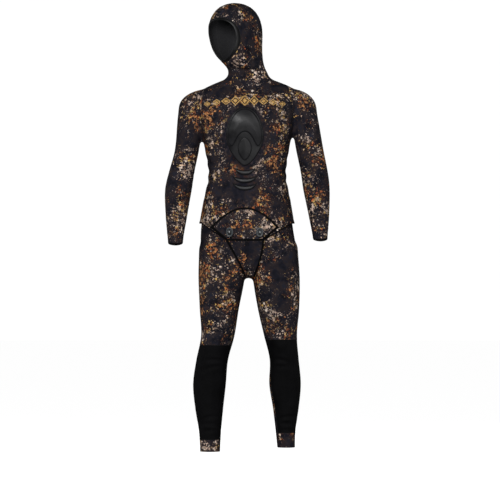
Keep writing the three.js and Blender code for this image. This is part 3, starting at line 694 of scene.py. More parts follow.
class Nodes:
    """A material's node tree, with short calls to add nodes and join them."""

    def __init__(self, name: str) -> None:
        """Args: name: the material's name."""
        self.material = bpy.data.materials.new(name)
        self.material.use_nodes = True
        self.tree = self.material.node_tree
        self.tree.nodes.clear()
        self.shader = self.tree.nodes.new("ShaderNodeBsdfPrincipled")
        out = self.tree.nodes.new("ShaderNodeOutputMaterial")
        self.tree.links.new(self.shader.outputs["BSDF"], out.inputs["Surface"])

    def add(self, kind: str, inputs: dict | None = None, **settings: object) -> bpy.types.Node:
        """Adds a node.

        Args:
            kind: the node's type, without its ShaderNode prefix.
            inputs: what goes into its sockets, by name or number: numbers, colours or other nodes' outputs.
            settings: the node's own properties.

        Returns:
            The node.
        """
        node = self.tree.nodes.new("ShaderNode" + kind)
        for key, value in settings.items():
            setattr(node, key, value)
        for key, value in (inputs or {}).items():
            self.put(node.inputs[key], value)
        return node

    def put(self, socket: bpy.types.NodeSocket, value: object) -> None:
        """Joins an output to a socket, or sets the socket's own value."""
        if isinstance(value, bpy.types.NodeSocket):
            self.tree.links.new(value, socket)
        else:
            socket.default_value = value

    def math(self, operation: str, *values: object, clamp: bool = False) -> bpy.types.NodeSocket:
        """The result of a sum on numbers or outputs."""
        return self.add("Math", dict(enumerate(values)), operation=operation, use_clamp=clamp).outputs[0]

    def span(
        self, value: object, low: float, high: float, to: tuple[float, float] = (0.0, 1.0)
    ) -> bpy.types.NodeSocket:
        """A smooth step of a value from one end of a span to the other."""
        inputs = {"Value": value, "From Min": low, "From Max": high, "To Min": to[0], "To Max": to[1]}
        return self.add("MapRange", inputs, interpolation_type="SMOOTHSTEP").outputs["Result"]

    def noise(
        self, place: object, scale: float, detail: float = 2.0, **inputs: float
    ) -> bpy.types.NodeSocket:
        """Soft noise at a scale per metre."""
        sockets = {"Vector": place, "Scale": scale, "Detail": detail}
        sockets.update({k.title(): v for k, v in inputs.items()})
        return self.add("TexNoise", sockets).outputs["Fac"]

    def mix(self, share: object, one: object, other: object) -> bpy.types.NodeSocket:
        """One colour over another by a share."""
        node = self.add("Mix", {0: share, 6: one, 7: other}, data_type="RGBA")
        return node.outputs[2]

    def ramp(
        self, value: object, stops: Sequence[tuple[float, tuple]], hard: bool = False
    ) -> bpy.types.NodeSocket:
        """A colour by value, along a row of stops."""
        node = self.add("ValToRGB", {"Fac": value})
        ramp = node.color_ramp
        ramp.interpolation = "CONSTANT" if hard else "LINEAR"
        while len(ramp.elements) < len(stops):
            ramp.elements.new(0.5)
        for element, (at, colour) in zip(ramp.elements, stops):
            element.position, element.color = at, (*colour, 1.0)
        return node.outputs["Color"]

    def bump(self, height: object, distance: float, strength: float = 1.0) -> None:
        """Gives the shader a relief."""
        node = self.add("Bump", {"Height": height, "Distance": distance, "Strength": strength})
        self.put(self.shader.inputs["Normal"], node.outputs["Normal"])

    def surface(self, **inputs: object) -> bpy.types.Material:
        """Sets the shader's sockets, by name with underscores, and gives back the material."""
        for key, value in inputs.items():
            self.put(self.shader.inputs[key.replace("_", " ").title().replace("Ior", "IOR")], value)
        return self.material


class Finish:
    """A finish of the suit, made once and shared by its pieces."""

    made: dict[str, bpy.types.Material] = {}

    def material(self) -> bpy.types.Material:
        """The finish's material."""
        name = type(self).__name__
        if name not in Finish.made:
            Finish.made[name] = self.build(name)
        return Finish.made[name]

    def build(self, name: str) -> bpy.types.Material:
        """Makes the material."""
        raise NotImplementedError


def knit(nodes: Nodes, place: object, gauge: float) -> bpy.types.NodeSocket:
    """The relief of knitted jersey: fine wales crossed by courses, a little uneven."""
    loops = {"Vector": place, "Scale": gauge, "Distortion": 1.2, "Detail": 1.0, "Detail Scale": 2.0}
    rows = nodes.add("TexWave", loops)
    rows.bands_direction = "Z"
    wales = nodes.add("TexWave", loops)
    wales.bands_direction = "DIAGONAL"
    return nodes.math("ADD", rows.outputs["Fac"], wales.outputs["Fac"])


@dataclass(frozen=True)
class Camouflage(Finish):
    """Jersey printed with clustered flecks of cream, rust and gold on black; pieces may ask for black bands,
    which are partly painted shade.
    """

    fleck: float = 118.0  # cells per metre
    patch: float = 11.0
    hue_patch: float = 19.0
    roughness: float = 0.82

    def build(self, name: str) -> bpy.types.Material:
        """Makes the material."""
        n = Nodes(name)
        place = n.add("Attribute", attribute_name="print_place").outputs["Vector"]
        shown_print_and_shade = n.add("Attribute", attribute_name="print_and_shade_share").outputs["Fac"]
        # fewer flecks where the share is low: a plainer print, and in part painted shade between the legs and
        # under the arms
        share = n.span(shown_print_and_shade, PLAIN, 1.0)
        wobble = n.add("TexNoise", {"Vector": place, "Scale": 150.0, "Detail": 2.0}).outputs["Color"]
        centred = n.add("VectorMath", {0: wobble, 1: (0.5, 0.5, 0.5)}, operation="SUBTRACT").outputs[0]
        moved = n.add("VectorMath", {0: centred, 1: (0.016, 0.016, 0.016)}, operation="MULTIPLY").outputs[0]
        warped = n.add("VectorMath", {0: place, 1: moved}, operation="ADD").outputs[0]

        density = n.noise(place, self.patch, 4.0, roughness=0.66)
        dense = n.span(density, 0.38, 0.60)
        hue = n.noise(place, self.hue_patch, 1.0)

        cells = n.add("TexVoronoi", {"Vector": warped, "Scale": self.fleck}, distance="MANHATTAN")
        random = n.add("SeparateColor", {"Color": cells.outputs["Color"]}).outputs
        size = n.math("MULTIPLY_ADD", n.math("MULTIPLY", random[0], dense), 1.12, 0.02)
        fleck = n.span(n.math("SUBTRACT", size, cells.outputs["Distance"]), -0.02, 0.03)
        small = n.add("TexVoronoi", {"Vector": warped, "Scale": self.fleck * 1.8})
        chance = n.add("SeparateColor", {"Color": small.outputs["Color"]}).outputs
        speck = n.math(
            "MULTIPLY", n.math("GREATER_THAN", chance[1], 0.70), n.span(small.outputs["Distance"], 0.40, 0.26)
        )
        speck = n.math("MULTIPLY", speck, n.span(density, 0.36, 0.60))

        spread = n.math("MULTIPLY_ADD", n.math("SUBTRACT", hue, 0.5), 3.4, 0.22)
        tone = n.math("MULTIPLY_ADD", random[1], 0.5, spread, clamp=True)
        inks = (
            (0.00, (0.66, 0.48, 0.38)),
            (0.10, (1.00, 0.84, 0.70)),
            (0.24, (0.46, 0.31, 0.23)),
            (0.34, (0.90, 0.64, 0.46)),
            (0.46, (0.54, 0.36, 0.14)),
            (0.55, (0.78, 0.50, 0.15)),
            (0.65, (0.34, 0.17, 0.08)),
            (0.74, (0.66, 0.21, 0.05)),
            (0.84, (0.42, 0.085, 0.035)),
            (0.93, (0.60, 0.27, 0.10)),
        )
        faint = n.math("MULTIPLY_ADD", n.math("POWER", random[2], 1.3), 0.70, 0.32)
        ink = n.mix(faint, (0.060, 0.038, 0.030, 1), n.ramp(tone, inks, hard=True))
        specks = (
            (0.00, (0.60, 0.50, 0.42)),
            (0.22, (0.24, 0.12, 0.06)),
            (0.50, (0.15, 0.12, 0.11)),
            (0.78, (0.36, 0.24, 0.12)),
        )
        speck_ink = n.ramp(chance[0], specks, hard=True)
        ground = n.ramp(
            n.noise(place, 30.0, 3.0),
            (
                (0.30, (0.0050, 0.0050, 0.0078)),
                (0.46, (0.0115, 0.0115, 0.0180)),
                (0.56, (0.0230, 0.0175, 0.0190)),
                (0.72, (0.0150, 0.0170, 0.0280)),
            ),
        )
        smudge = n.mix(n.span(hue, 0.42, 0.58), (0.050, 0.038, 0.042, 1), (0.075, 0.028, 0.013, 1))
        cloud = n.math("MULTIPLY", n.span(n.noise(warped, 80.0, 3.0), 0.48, 0.66), dense)
        base = n.mix(n.math("MULTIPLY", cloud, 0.8), ground, smudge)
        print_one = n.mix(n.math("MULTIPLY", speck, share), base, speck_ink)
        print_two = n.mix(n.math("MULTIPLY", fleck, share), print_one, ink)
        # black where the share is under PLAIN: black edges of the cloth, and painted shade at the hem and at
        # the beavertail's border and step
        print_edges_and_painted_shade = n.mix(n.span(shown_print_and_shade, 0.0, PLAIN), (0.0012, 0.0012, 0.0014, 1), print_two)
        n.bump(knit(n, place, 260.0), 0.00025, 0.5)
        return n.surface(base_color=print_edges_and_painted_shade, roughness=self.roughness, specular_ior_level=0.08)


@dataclass(frozen=True)
class BlackJersey(Finish):
    """Hard-wearing black jersey."""

    roughness: float = 0.62

    def build(self, name: str) -> bpy.types.Material:
        """Makes the material."""
        n = Nodes(name)
        place = n.add("TexCoord").outputs["Object"]
        rub = n.noise(place, 24.0, 4.0)
        colour = n.ramp(rub, ((0.3, (0.0022, 0.0022, 0.0025)), (0.7, (0.0042, 0.0042, 0.0048))))
        n.bump(knit(n, place, 300.0), 0.00025, 0.6)
        rough = n.span(rub, 0.3, 0.7, (self.roughness, self.roughness + 0.1))
        return n.surface(base_color=colour, roughness=rough, specular_ior_level=0.06)


@dataclass(frozen=True)
class SmoothSkin(Finish):
    """Unlined neoprene with its smooth moulded skin."""

    roughness: float = 0.42

    def build(self, name: str) -> bpy.types.Material:
        """Makes the material."""
        n = Nodes(name)
        place = n.add("TexCoord").outputs["Object"]
        grain = n.noise(place, 420.0, 3.0)
        colour = n.ramp(grain, ((0.35, (0.003, 0.003, 0.0033)), (0.65, (0.006, 0.006, 0.0066))))
        n.bump(grain, 0.0002, 0.4)
        return n.surface(base_color=colour, roughness=self.roughness, specular_ior_level=0.2)


@dataclass(frozen=True)
class Lining(Finish):
    """Charcoal nylon plush inside the suit."""

    roughness: float = 0.9

    def build(self, name: str) -> bpy.types.Material:
        """Makes the material."""
        n = Nodes(name)
        place = n.add("TexCoord").outputs["Object"]
        pile = n.noise(place, 520.0, 2.0)
        colour = n.ramp(pile, ((0.3, (0.018, 0.018, 0.020)), (0.7, (0.045, 0.045, 0.048))))
        n.bump(pile, 0.0004, 0.7)
        return n.surface(base_color=colour, roughness=self.roughness, specular_ior_level=0.15)


@dataclass(frozen=True)
class CutEdge(Finish):
    """The raw edge of neoprene foam, with its tiny closed cells."""

    cells: float = 900.0

    def build(self, name: str) -> bpy.types.Material:
        """Makes the material."""
        n = Nodes(name)
        place = n.add("TexCoord").outputs["Object"]
        foam = n.add("TexVoronoi", {"Vector": place, "Scale": self.cells}).outputs["Distance"]
        colour = n.ramp(foam, ((0.1, (0.004, 0.004, 0.004)), (0.6, (0.014, 0.014, 0.015))))
        n.bump(foam, 0.0003, 0.8)
        return n.surface(base_color=colour, roughness=0.85, specular_ior_level=0.15)


@dataclass(frozen=True)
class MouldedRubber(Finish):
    """Satin rubber of the loading pad, finely textured."""

    roughness: float = 0.36

    def build(self, name: str) -> bpy.types.Material:
        """Makes the material."""
        n = Nodes(name)
        place = n.add("TexCoord").outputs["Object"]
        grain = n.noise(place, 700.0, 3.0)
        wear = n.noise(place, 38.0, 3.0)
        colour = n.ramp(wear, ((0.3, (0.0036, 0.0036, 0.0044)), (0.7, (0.0068, 0.0068, 0.0084))))
        n.bump(grain, 0.0003, 0.55)
        rough = n.span(wear, 0.3, 0.7, (self.roughness, self.roughness + 0.12))
        return n.surface(base_color=colour, roughness=rough, specular_ior_level=0.24)


@dataclass(frozen=True)
class ClipPlastic(Finish):
    """Grey moulded nylon of the clips."""

    roughness: float = 0.4

    def build(self, name: str) -> bpy.types.Material:
        """Makes the material."""
        n = Nodes(name)
        place = n.add("TexCoord").outputs["Object"]
        mottle = n.noise(place, 160.0, 3.0)
        colour = n.ramp(mottle, ((0.3, (0.022, 0.027, 0.032)), (0.7, (0.042, 0.050, 0.056))))
        n.bump(n.noise(place, 1400.0, 2.0), 0.0001, 0.5)
        return n.surface(base_color=colour, roughness=self.roughness, specular_ior_level=0.5)


@dataclass(frozen=True)
class RivetSteel(Finish):
    """Turned stainless steel."""

    roughness: float = 0.3

    def build(self, name: str) -> bpy.types.Material:
        """Makes the material."""
        n = Nodes(name)
        place = n.add("TexCoord").outputs["Object"]
        lines = n.noise(place, 900.0, 2.0)
        colour = n.ramp(lines, ((0.3, (0.10, 0.105, 0.11)), (0.7, (0.20, 0.205, 0.21))))
        rough = n.span(lines, 0.3, 0.7, (self.roughness, self.roughness + 0.12))
        return n.surface(base_color=colour, roughness=rough, metallic=1.0)


@dataclass(frozen=True)
class GoldPrint(Finish):
    """Gold ink printed on the chest, thinner here and there."""

    roughness: float = 0.5

    def build(self, name: str) -> bpy.types.Material:
        """Makes the material."""
        n = Nodes(name)
        place = n.add("TexCoord").outputs["Object"]
        thin = n.noise(place, 170.0, 4.0)
        golds = ((0.3, (0.30, 0.16, 0.035)), (0.5, (0.56, 0.33, 0.10)), (0.7, (0.70, 0.46, 0.18)))
        colour = n.ramp(thin, golds)
        n.bump(n.noise(place, 1200.0, 2.0), 0.0001, 0.5)
        return n.surface(base_color=colour, roughness=self.roughness, specular_ior_level=0.4)


@dataclass(frozen=True)
class Thread(Finish):
    """Dark polyester thread."""

    roughness: float = 0.6

    def build(self, name: str) -> bpy.types.Material:
        """Makes the material."""
        n = Nodes(name)
        place = n.add("TexCoord").outputs["Object"]
        ply = n.noise(place, 1500.0, 1.0)
        colour = n.ramp(ply, ((0.3, (0.012, 0.012, 0.013)), (0.7, (0.035, 0.034, 0.034))))
        return n.surface(base_color=colour, roughness=self.roughness, specular_ior_level=0.3)


CAMOUFLAGE, BLACK, SKIN = Camouflage(), BlackJersey(), SmoothSkin()
SLOTS = {
    Camouflage: "camouflage_jersey",
    BlackJersey: "black_jersey",
    SmoothSkin: "smooth_skin",
    MouldedRubber: "pad_rubber",
    ClipPlastic: "clip_plastic",
    RivetSteel: "clip_metal",
}


# --- sewing


def smooth_step(value: np.ndarray, low: float, high: float) -> np.ndarray:
    """A smooth step from 0 at low to 1 at high."""
    t = np.clip((value - low) / (high - low), 0, 1)
    return t * t * (3 - 2 * t)


PLAIN = 0.2  # share of the print where the cloth is plain; less than this is black, partly the black of an edge and partly painted shade at the jacket's hem and the beavertail


def print_fade_and_painted_shade(place: np.ndarray) -> np.ndarray:
    """How much of the print shows: less round the pad; less between the legs and under the arms, partly a
    plainer print and partly painted shade; black along the jacket's hem, partly its edge and partly painted
    shade.
    """
    x, y, z = place.T
    front = smooth_step(-y, 0, 40)
    pad = np.hypot((x - MIDLINE) / 92, (z - 128) / 128)
    belly = np.hypot((x - MIDLINE) / 66, (z + 62) / 92)
    keep = 1 - front * (1 - smooth_step(pad, 0.78, 1.06))
    keep *= 1 - 0.88 * front * (1 - smooth_step(belly, 0.55, 1.15))
    # between the legs the print fades to black: partly a plainer print, partly painted shade between the
    # thighs
    inner = 1 - smooth_step(np.abs(x - CROTCH_X - 4), 6, 40 + 0.0 * x)
    keep *= 1 - 0.9 * inner * smooth_step(-z, 380, 420)
    # in the gap between the hanging arm and the side the print fades to black: partly a plainer print, partly
    # painted shade
    gap = np.abs(np.abs(x) - (168 + 0.12 * np.clip(40 - z, 0, 300)))
    keep *= 1 - 0.9 * (1 - smooth_step(gap, 4, 20)) * smooth_step(-z, -215, -150) * smooth_step(z, -240, -180)
    # the last few millimetres above the jacket's hem are black: partly the cut edge, partly painted shade
    # along the step over the trousers
    hem = np.where((np.abs(x) < 200) & (z > HEM_CENTRE - 4), z - hem_height(x), 99)
    keep = PLAIN + (1 - PLAIN) * np.clip(keep, 0, 1)
    keep *= smooth_step(np.where(hem > -1, hem, 99), 3.5, 5.5)
    return keep


def set_print(mesh: bpy.types.Mesh, shift: tuple[float, float, float], share: Field = print_fade_and_painted_shade) -> None:
    """Notes on a mesh where its print lies, so that it stays on the cloth when the cloth bends.

    Args:
        mesh: a finished mesh, in metres.
        shift: how far this panel was moved on the printed roll, in metres.
        share: how much of the print shows at some places; where it is less, the black is in part painted
            shade.
    """
    place = np.zeros(len(mesh.vertices) * 3, np.float32)
    mesh.vertices.foreach_get("co", place)
    place = place.reshape(-1, 3)
    roll = mesh.attributes.new("print_place", "FLOAT_VECTOR", "POINT")
    roll.data.foreach_set("vector", (place + np.array(shift, np.float32)).ravel())
    # the share also carries painted shade: black bands and fades where shade falls
    print_and_shade_values = mesh.attributes.new("print_and_shade_share", "FLOAT", "POINT")
    print_and_shade_values.data.foreach_set("value", share(place * METRE).astype(np.float32))


@dataclass
class Pattern:
    """What a panel is cut from: its cut width and length in metres, and the solids it stands for."""

    cut: tuple[float, float]
    nodes: tuple[str, ...]
    finish: Finish = CAMOUFLAGE
    body: str = "suit"
    bevel: float = 0.0009
    share: Field = print_fade_and_painted_shade


STRETCH = 0.95  # the sheet is cut this much smaller than it is when worn, by area


@dataclass
class Workshop:
    """Turns cut cloth into finished pieces, and keeps the seams for the stitching."""

    seams: list[tuple[Vector, Vector, Vector]] = field(default_factory=list)
    panels: int = 0  # sewn so far, which turns the print from one to the next

    def sew(self, name: str, cloth: Cloth, pattern: Pattern) -> bpy.types.Object:
        """Makes a panel of lined neoprene.

        Args:
            name: the piece's name.
            cloth: the panel's outer face.
            pattern: what it is cut from.

        Returns:
            The piece.
        """
        panel = mesh_object(cloth.bm, f"{name}_neoprene")
        for finish in (pattern.finish, Lining(), CutEdge()):
            panel.data.materials.append(finish.material())
        wall = panel.modifiers.new("wall", "SOLIDIFY")
        wall.thickness, wall.offset = WALL / METRE, -1.0
        wall.use_even_offset, wall.use_rim = True, True
        wall.material_offset, wall.material_offset_rim = 1, 2
        edge = panel.modifiers.new("edge", "BEVEL")
        edge.width, edge.segments, edge.limit_method = pattern.bevel, 2, "ANGLE"
        edge.angle_limit, edge.profile, edge.harden_normals = math.radians(55), 0.5, False
        settle_modifiers(panel)
        self.panels += 1
        angle = 2.4 * self.panels
        shift = (0.31 * math.cos(angle), 0.23 * math.sin(angle), 0.17 * math.sin(2 * angle))
        set_print(panel.data, shift, pattern.share)
        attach(panel, pattern.body)
        self.declare(panel, cloth, pattern)
        return panel

    def declare(self, panel: bpy.types.Object, cloth: Cloth, pattern: Pattern) -> None:
        """Hides the solids a panel replaces, and logs the size it was cut to."""
        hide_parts(*pattern.nodes)
        SLOTS[type(pattern.finish)]
        worn = sum(f.calc_area() for f in cloth.bm.faces) / METRE**2
        width, length = pattern.cut
        area = STRETCH * worn
        fills = area / (width * length)
        LOG.info("%s: worn %.4f m2, cut %.3f x %.3f m, fills %.2f", panel.name, worn, width, length, fills)


def clad(thing: bpy.types.Object, finish: Finish, body: str, *nodes: str) -> bpy.types.Object:
    """Gives a piece its finish and its body, and hides the solids it stands for."""
    thing.data.materials.append(finish.material())
    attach(thing, body)
    if type(finish) in SLOTS:
        SLOTS[type(finish)]
    if nodes:
        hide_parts(*nodes)
    LOG.info("%s: %d faces", thing.name, len(thing.data.polygons))
    return thing


def sculpt(cloth: Cloth) -> None:
    """Shapes a form over the wearer's muscles and creases it where the suit bends."""
    cloth.bm.normal_update()
    place, normal = places(cloth.bm), normals(cloth.bm)
    rise = sum(shape.rise(place, normal) for shape in [*MUSCLES, *FOLDS])
    rise *= 1 - clip_ground(place)
    set_places(cloth.bm, place + normal * rise[:, None])
    for _ in range(2):
        smooth(cloth.bm, 0.4)
    cloth.bm.normal_update()


def clip_ground(place: np.ndarray) -> np.ndarray:
    """Where the sheet lies as the clips need it."""
    x, y, z = place.T
    near = np.maximum(np.abs(x - MIDLINE) / 96, np.abs(z + 221) / 52)
    return (1 - smooth_step(near, 0.8, 1.25)) * (y < 0)


def hem_height(x: np.ndarray) -> np.ndarray:
    """The height of the jacket's lower edge, which dips to a level stretch in the middle."""
    left = [(MIDLINE - HEM_FLAT, HEM_CENTRE)]
    left += bezier(left[0], (MIDLINE - HEM_FLAT - 34, HEM_CENTRE + 18), (-HEM_CORNER, HEM_SIDE))
    right = [(MIDLINE + HEM_FLAT, HEM_CENTRE)]
    right += bezier(right[0], (MIDLINE + HEM_FLAT + 34, HEM_CENTRE + 18), (HEM_CORNER, HEM_SIDE))
    edge = np.array(left[::-1] + right)
    return np.interp(x, edge[:, 0], edge[:, 1])


def armhole(z: np.ndarray) -> np.ndarray:
    """How far from the middle the sleeves begin at some heights."""
    return np.interp(z, [-300, -60, 60, 150, 215, 250, 290, 312], [202, 196, 170, 165, 170, 168, 160, 152])


@dataclass
class Jacket:
    """The hooded jacket with its sleeves."""

    shop: Workshop
    arms_from: float = 200.0  # how far out only the arms are
    right_wrist: float = -262.0  # the height of its edge
    left_wrist: float = -247.0
    wrist_y: float = -37.0
    face_turn: float = -40.0  # degrees, of the head
    face_axis: tuple[float, float, float] = (-38.0, -10.0, 0.0)
    face_bottom: float = 412.0
    face_widest: float = 500.0
    face_top: float = 558.0
    face_half_width: float = 66.0
    rim_width: float = 9.0
    form: Cloth = field(init=False)

    def __post_init__(self) -> None:
        """Fuses the trunk and the arms into one form."""
        limbs = [BODY[p].shell(72, 9) for p in (Part.TRUNK, Part.RIGHT_ARM, Part.LEFT_ARM)]
        self.form = Cloth(fused(limbs, 8))
        sculpt(self.form)

    def build(self) -> None:
        """Cuts the form into its regions and sews each."""
        cloth = self.form.copy()
        arms = lambda p: np.abs(p[:, 0]) > self.arms_from
        self.shop.seams += cloth.cut(lambda p: p[:, 2] - NECK_SEAM)
        self.shop.seams += cloth.cut(lambda p: np.abs(p[:, 0]) - armhole(p[:, 2]))
        cloth.cut(lambda p: np.where(arms(p), 50.0, p[:, 2] - hem_height(p[:, 0])))
        in_sleeve = lambda p: (np.abs(p[:, 0]) > armhole(p[:, 2])) & (p[:, 2] < NECK_SEAM)
        body = cloth.part(lambda p: (p[:, 2] < NECK_SEAM) & ~in_sleeve(p) & (p[:, 2] > hem_height(p[:, 0])))
        self.sew_body(body)
        for side, sign in (("right", -1), ("left", 1)):
            self.sew_sleeve(side, cloth.part(lambda p, s=sign: in_sleeve(p) & (s * p[:, 0] > 0)))
        self.sew_hood(cloth.part(lambda p: p[:, 2] > NECK_SEAM))

    def sew_body(self, body: Cloth) -> None:
        """Sews the front and back panels, each in an upper and a lower part."""
        body.shift(lambda p: 1.6 * (1 - smooth_step(p[:, 2] - hem_height(p[:, 0]), 0, 16)) * (p[:, 1] > -40))
        self.shop.seams += body.cut(lambda p: p[:, 1] - SIDE_SEAM_Y)
        self.shop.seams += body.cut(lambda p: p[:, 2] - JACKET_WAIST_SEAM)
        # cut lines along the hem's black band, which is partly painted shade, so that it ends crisply
        for inset in (3.5, 5.5):
            body.cut(lambda p, i=inset: p[:, 2] - hem_height(p[:, 0]) - i)
        for face, front in (("front", True), ("back", False)):
            for level, upper in (("upper", True), ("lower", False)):
                name = f"jacket_{face}_{level}_panel"
                keep = lambda p, f=front, u=upper: (
                    ((p[:, 1] < SIDE_SEAM_Y) == f) & ((p[:, 2] > JACKET_WAIST_SEAM) == u)
                )
                cut = (0.50, 0.30) if upper else (0.50, 0.31)
                self.shop.sew(name, body.part(keep), Pattern(cut, (name,)))

    def sew_sleeve(self, side: str, sleeve: Cloth) -> None:
        """Sews one sleeve with its wrist seal."""
        z = self.right_wrist if side == "right" else self.left_wrist
        tilt = math.hypot(1, WRIST_SLOPE)
        wrist = lambda p: (p[:, 2] - z - WRIST_SLOPE * (p[:, 1] - self.wrist_y)) / tilt
        seam = lambda p: p[:, 1] - 10 - 0.09 * p[:, 2]
        sleeve.cut(wrist)
        sleeve = sleeve.part(lambda p: wrist(p) > 0)
        self.shop.seams += sleeve.cut(lambda p: wrist(p) - CUFF_LENGTH)
        cuff = f"{side}_wrist_cuff"
        band = sleeve.part(lambda p: wrist(p) < CUFF_LENGTH)
        share = lambda p: print_fade_and_painted_shade(p) * smooth_step(wrist(p), 8, 12)
        self.shop.sew(cuff, band, Pattern((0.20, 0.038), (cuff,), share=share))
        tube = sleeve.part(lambda p: wrist(p) > CUFF_LENGTH)
        self.shop.seams += tube.cut(seam)
        for face, sign in (("front", -1), ("back", 1)):
            name = f"{side}_sleeve_{face}_panel"
            half = tube.part(lambda p, s=sign: s * seam(p) > 0)
            self.shop.sew(name, half, Pattern((0.19, 0.56), (name,)))

    def sew_hood(self, hood: Cloth) -> None:
        """Sews the two halves of the hood and the rim of its face opening."""
        turn = math.radians(self.face_turn)
        across = np.array([math.cos(turn), math.sin(turn), 0.0])
        ahead = np.array([math.sin(turn), -math.cos(turn), 0.0])
        axis = np.array(self.face_axis)
        bottom, widest = self.face_bottom, self.face_widest
        top, half = self.face_top, self.face_half_width
        rise = 0.9 * (top - widest)
        right = [(0.0, bottom)]
        right += bezier(right[-1], (half * 0.55, bottom + 4), (half, widest - rise), (half, widest))
        right += bezier(right[-1], (half, widest + rise * 0.8), (half * 0.6, top), (0.0, top))
        egg = Outline(right + [(-u, v) for u, v in reversed(right[1:-1])])

        def rim(p: np.ndarray) -> np.ndarray:
            """The distance from the face opening's edge, for places on the front of the head."""
            away = p - axis
            return np.where(away @ ahead > 0, egg.distance(away @ across, p[:, 2]), 60.0)

        hood.cut(rim)
        self.shop.seams += hood.cut(lambda p: rim(p) - self.rim_width)
        seal = hood.part(lambda p: (rim(p) > 0) & (rim(p) < self.rim_width))
        seal.shift(lambda p: 0.9 * np.sin(np.clip(rim(p) / self.rim_width, 0, 1) * math.pi))
        self.shop.sew("hood_face_seal", seal, Pattern((0.016, 0.47), ("hood_face_seal",), SKIN, bevel=0.0016))
        self.shop.seams += hood.cut(lambda p: (p - axis) @ across)
        for side, sign in (("right", -1), ("left", 1)):
            name = f"hood_{side}_panel"
            shell = hood.part(lambda p, s=sign: (rim(p) > self.rim_width) & (s * ((p - axis) @ across) > 0))
            self.shop.sew(name, shell, Pattern((0.34, 0.30), (name,)))


@dataclass(frozen=True)
class LegSeams:
    """The heights of a leg's seams, and where the calf's seam lies and faces."""

    knee: float
    ankle: float
    hem: float
    calf_x: float
    calf_facing: tuple[float, float]
    calf_y: float = 22.0


@dataclass
class Trousers:
    """The high-waist trousers."""

    shop: Workshop
    right: LegSeams = LegSeams(-638.0, -990.0, -1034.0, -100.0, (-0.12, 1.0))
    left: LegSeams = LegSeams(-618.0, -966.0, -1020.0, 130.0, (-0.5, 1.0))
    form: Cloth = field(init=False)

    def __post_init__(self) -> None:
        """Fuses the trunk and the legs into one form."""
        limbs = [BODY[Part.TRUNK].shell(72, 9, -TROUSER_SINK)]
        limbs += [BODY[p].shell(72, 9) for p in (Part.RIGHT_LEG, Part.LEFT_LEG)]
        self.form = Cloth(fused(limbs, 8))
        sculpt(self.form)

    def build(self) -> None:
        """Cuts the form into its regions and sews each."""
        cloth = self.form.copy()
        cloth.cut(lambda p: p[:, 2] - TROUSER_TOP)
        cloth = cloth.part(lambda p: p[:, 2] < TROUSER_TOP)
        self.shop.seams += cloth.cut(lambda p: p[:, 2] - HIP_SEAM)
        waist = cloth.part(lambda p: p[:, 2] > HIP_SEAM)
        waist.cut(lambda p: p[:, 1] - SIDE_SEAM_Y)
        for face, front in (("front", True), ("back", False)):
            name = f"trouser_waist_{face}_panel"
            half = waist.part(lambda p, f=front: (p[:, 1] < SIDE_SEAM_Y) == f)
            self.shop.sew(name, half, Pattern((0.47, 0.25), (name,), BLACK))
        legs = cloth.part(lambda p: p[:, 2] < HIP_SEAM)
        self.shop.seams += legs.cut(lambda p: p[:, 0] - CROTCH_X)
        for side, sign in (("right", -1), ("left", 1)):
            self.sew_leg(side, legs.part(lambda p, s=sign: s * (p[:, 0] - CROTCH_X) > 0))

    def sew_leg(self, side: str, leg: Cloth) -> None:
        """Sews one leg: thigh front and back, knee and shin pad, calf panel and ankle cuff."""
        at = self.right if side == "right" else self.left
        knee, ankle, hem = at.knee, at.ankle, at.hem
        fx, fy = at.calf_facing
        length = math.hypot(fx, fy)
        behind = lambda p: ((p[:, 0] - at.calf_x) * fx + (p[:, 1] - at.calf_y) * fy) / length
        leg.cut(lambda p: p[:, 2] - hem)
        leg = leg.part(lambda p: p[:, 2] > hem)
        self.shop.seams += leg.cut(lambda p: p[:, 2] - knee)
        self.shop.seams += leg.cut(lambda p: p[:, 2] - ankle)
        thigh = leg.part(lambda p: p[:, 2] > knee)
        self.shop.seams += thigh.cut(lambda p: p[:, 1] - SIDE_SEAM_Y)
        for face, sign in (("front", -1), ("back", 1)):
            name = f"{side}_thigh_{face}_panel"
            half = thigh.part(lambda p, s=sign: s * (p[:, 1] - SIDE_SEAM_Y) > 0)
            self.shop.sew(name, half, Pattern((0.30, 0.49), (name,)))
        shank = leg.part(lambda p: (p[:, 2] < knee) & (p[:, 2] > ankle))
        self.shop.seams += shank.cut(behind)
        pad, calf, cuff = f"{side}_knee_shin_pad", f"{side}_calf_panel", f"{side}_ankle_cuff"
        self.shop.sew(pad, shank.part(lambda p: behind(p) < 0), Pattern((0.24, 0.36), (pad,), BLACK))
        self.shop.sew(calf, shank.part(lambda p: behind(p) > 0), Pattern((0.22, 0.36), (calf,)))
        self.shop.sew(cuff, leg.part(lambda p: p[:, 2] < ankle), Pattern((0.27, 0.056), (cuff,)))


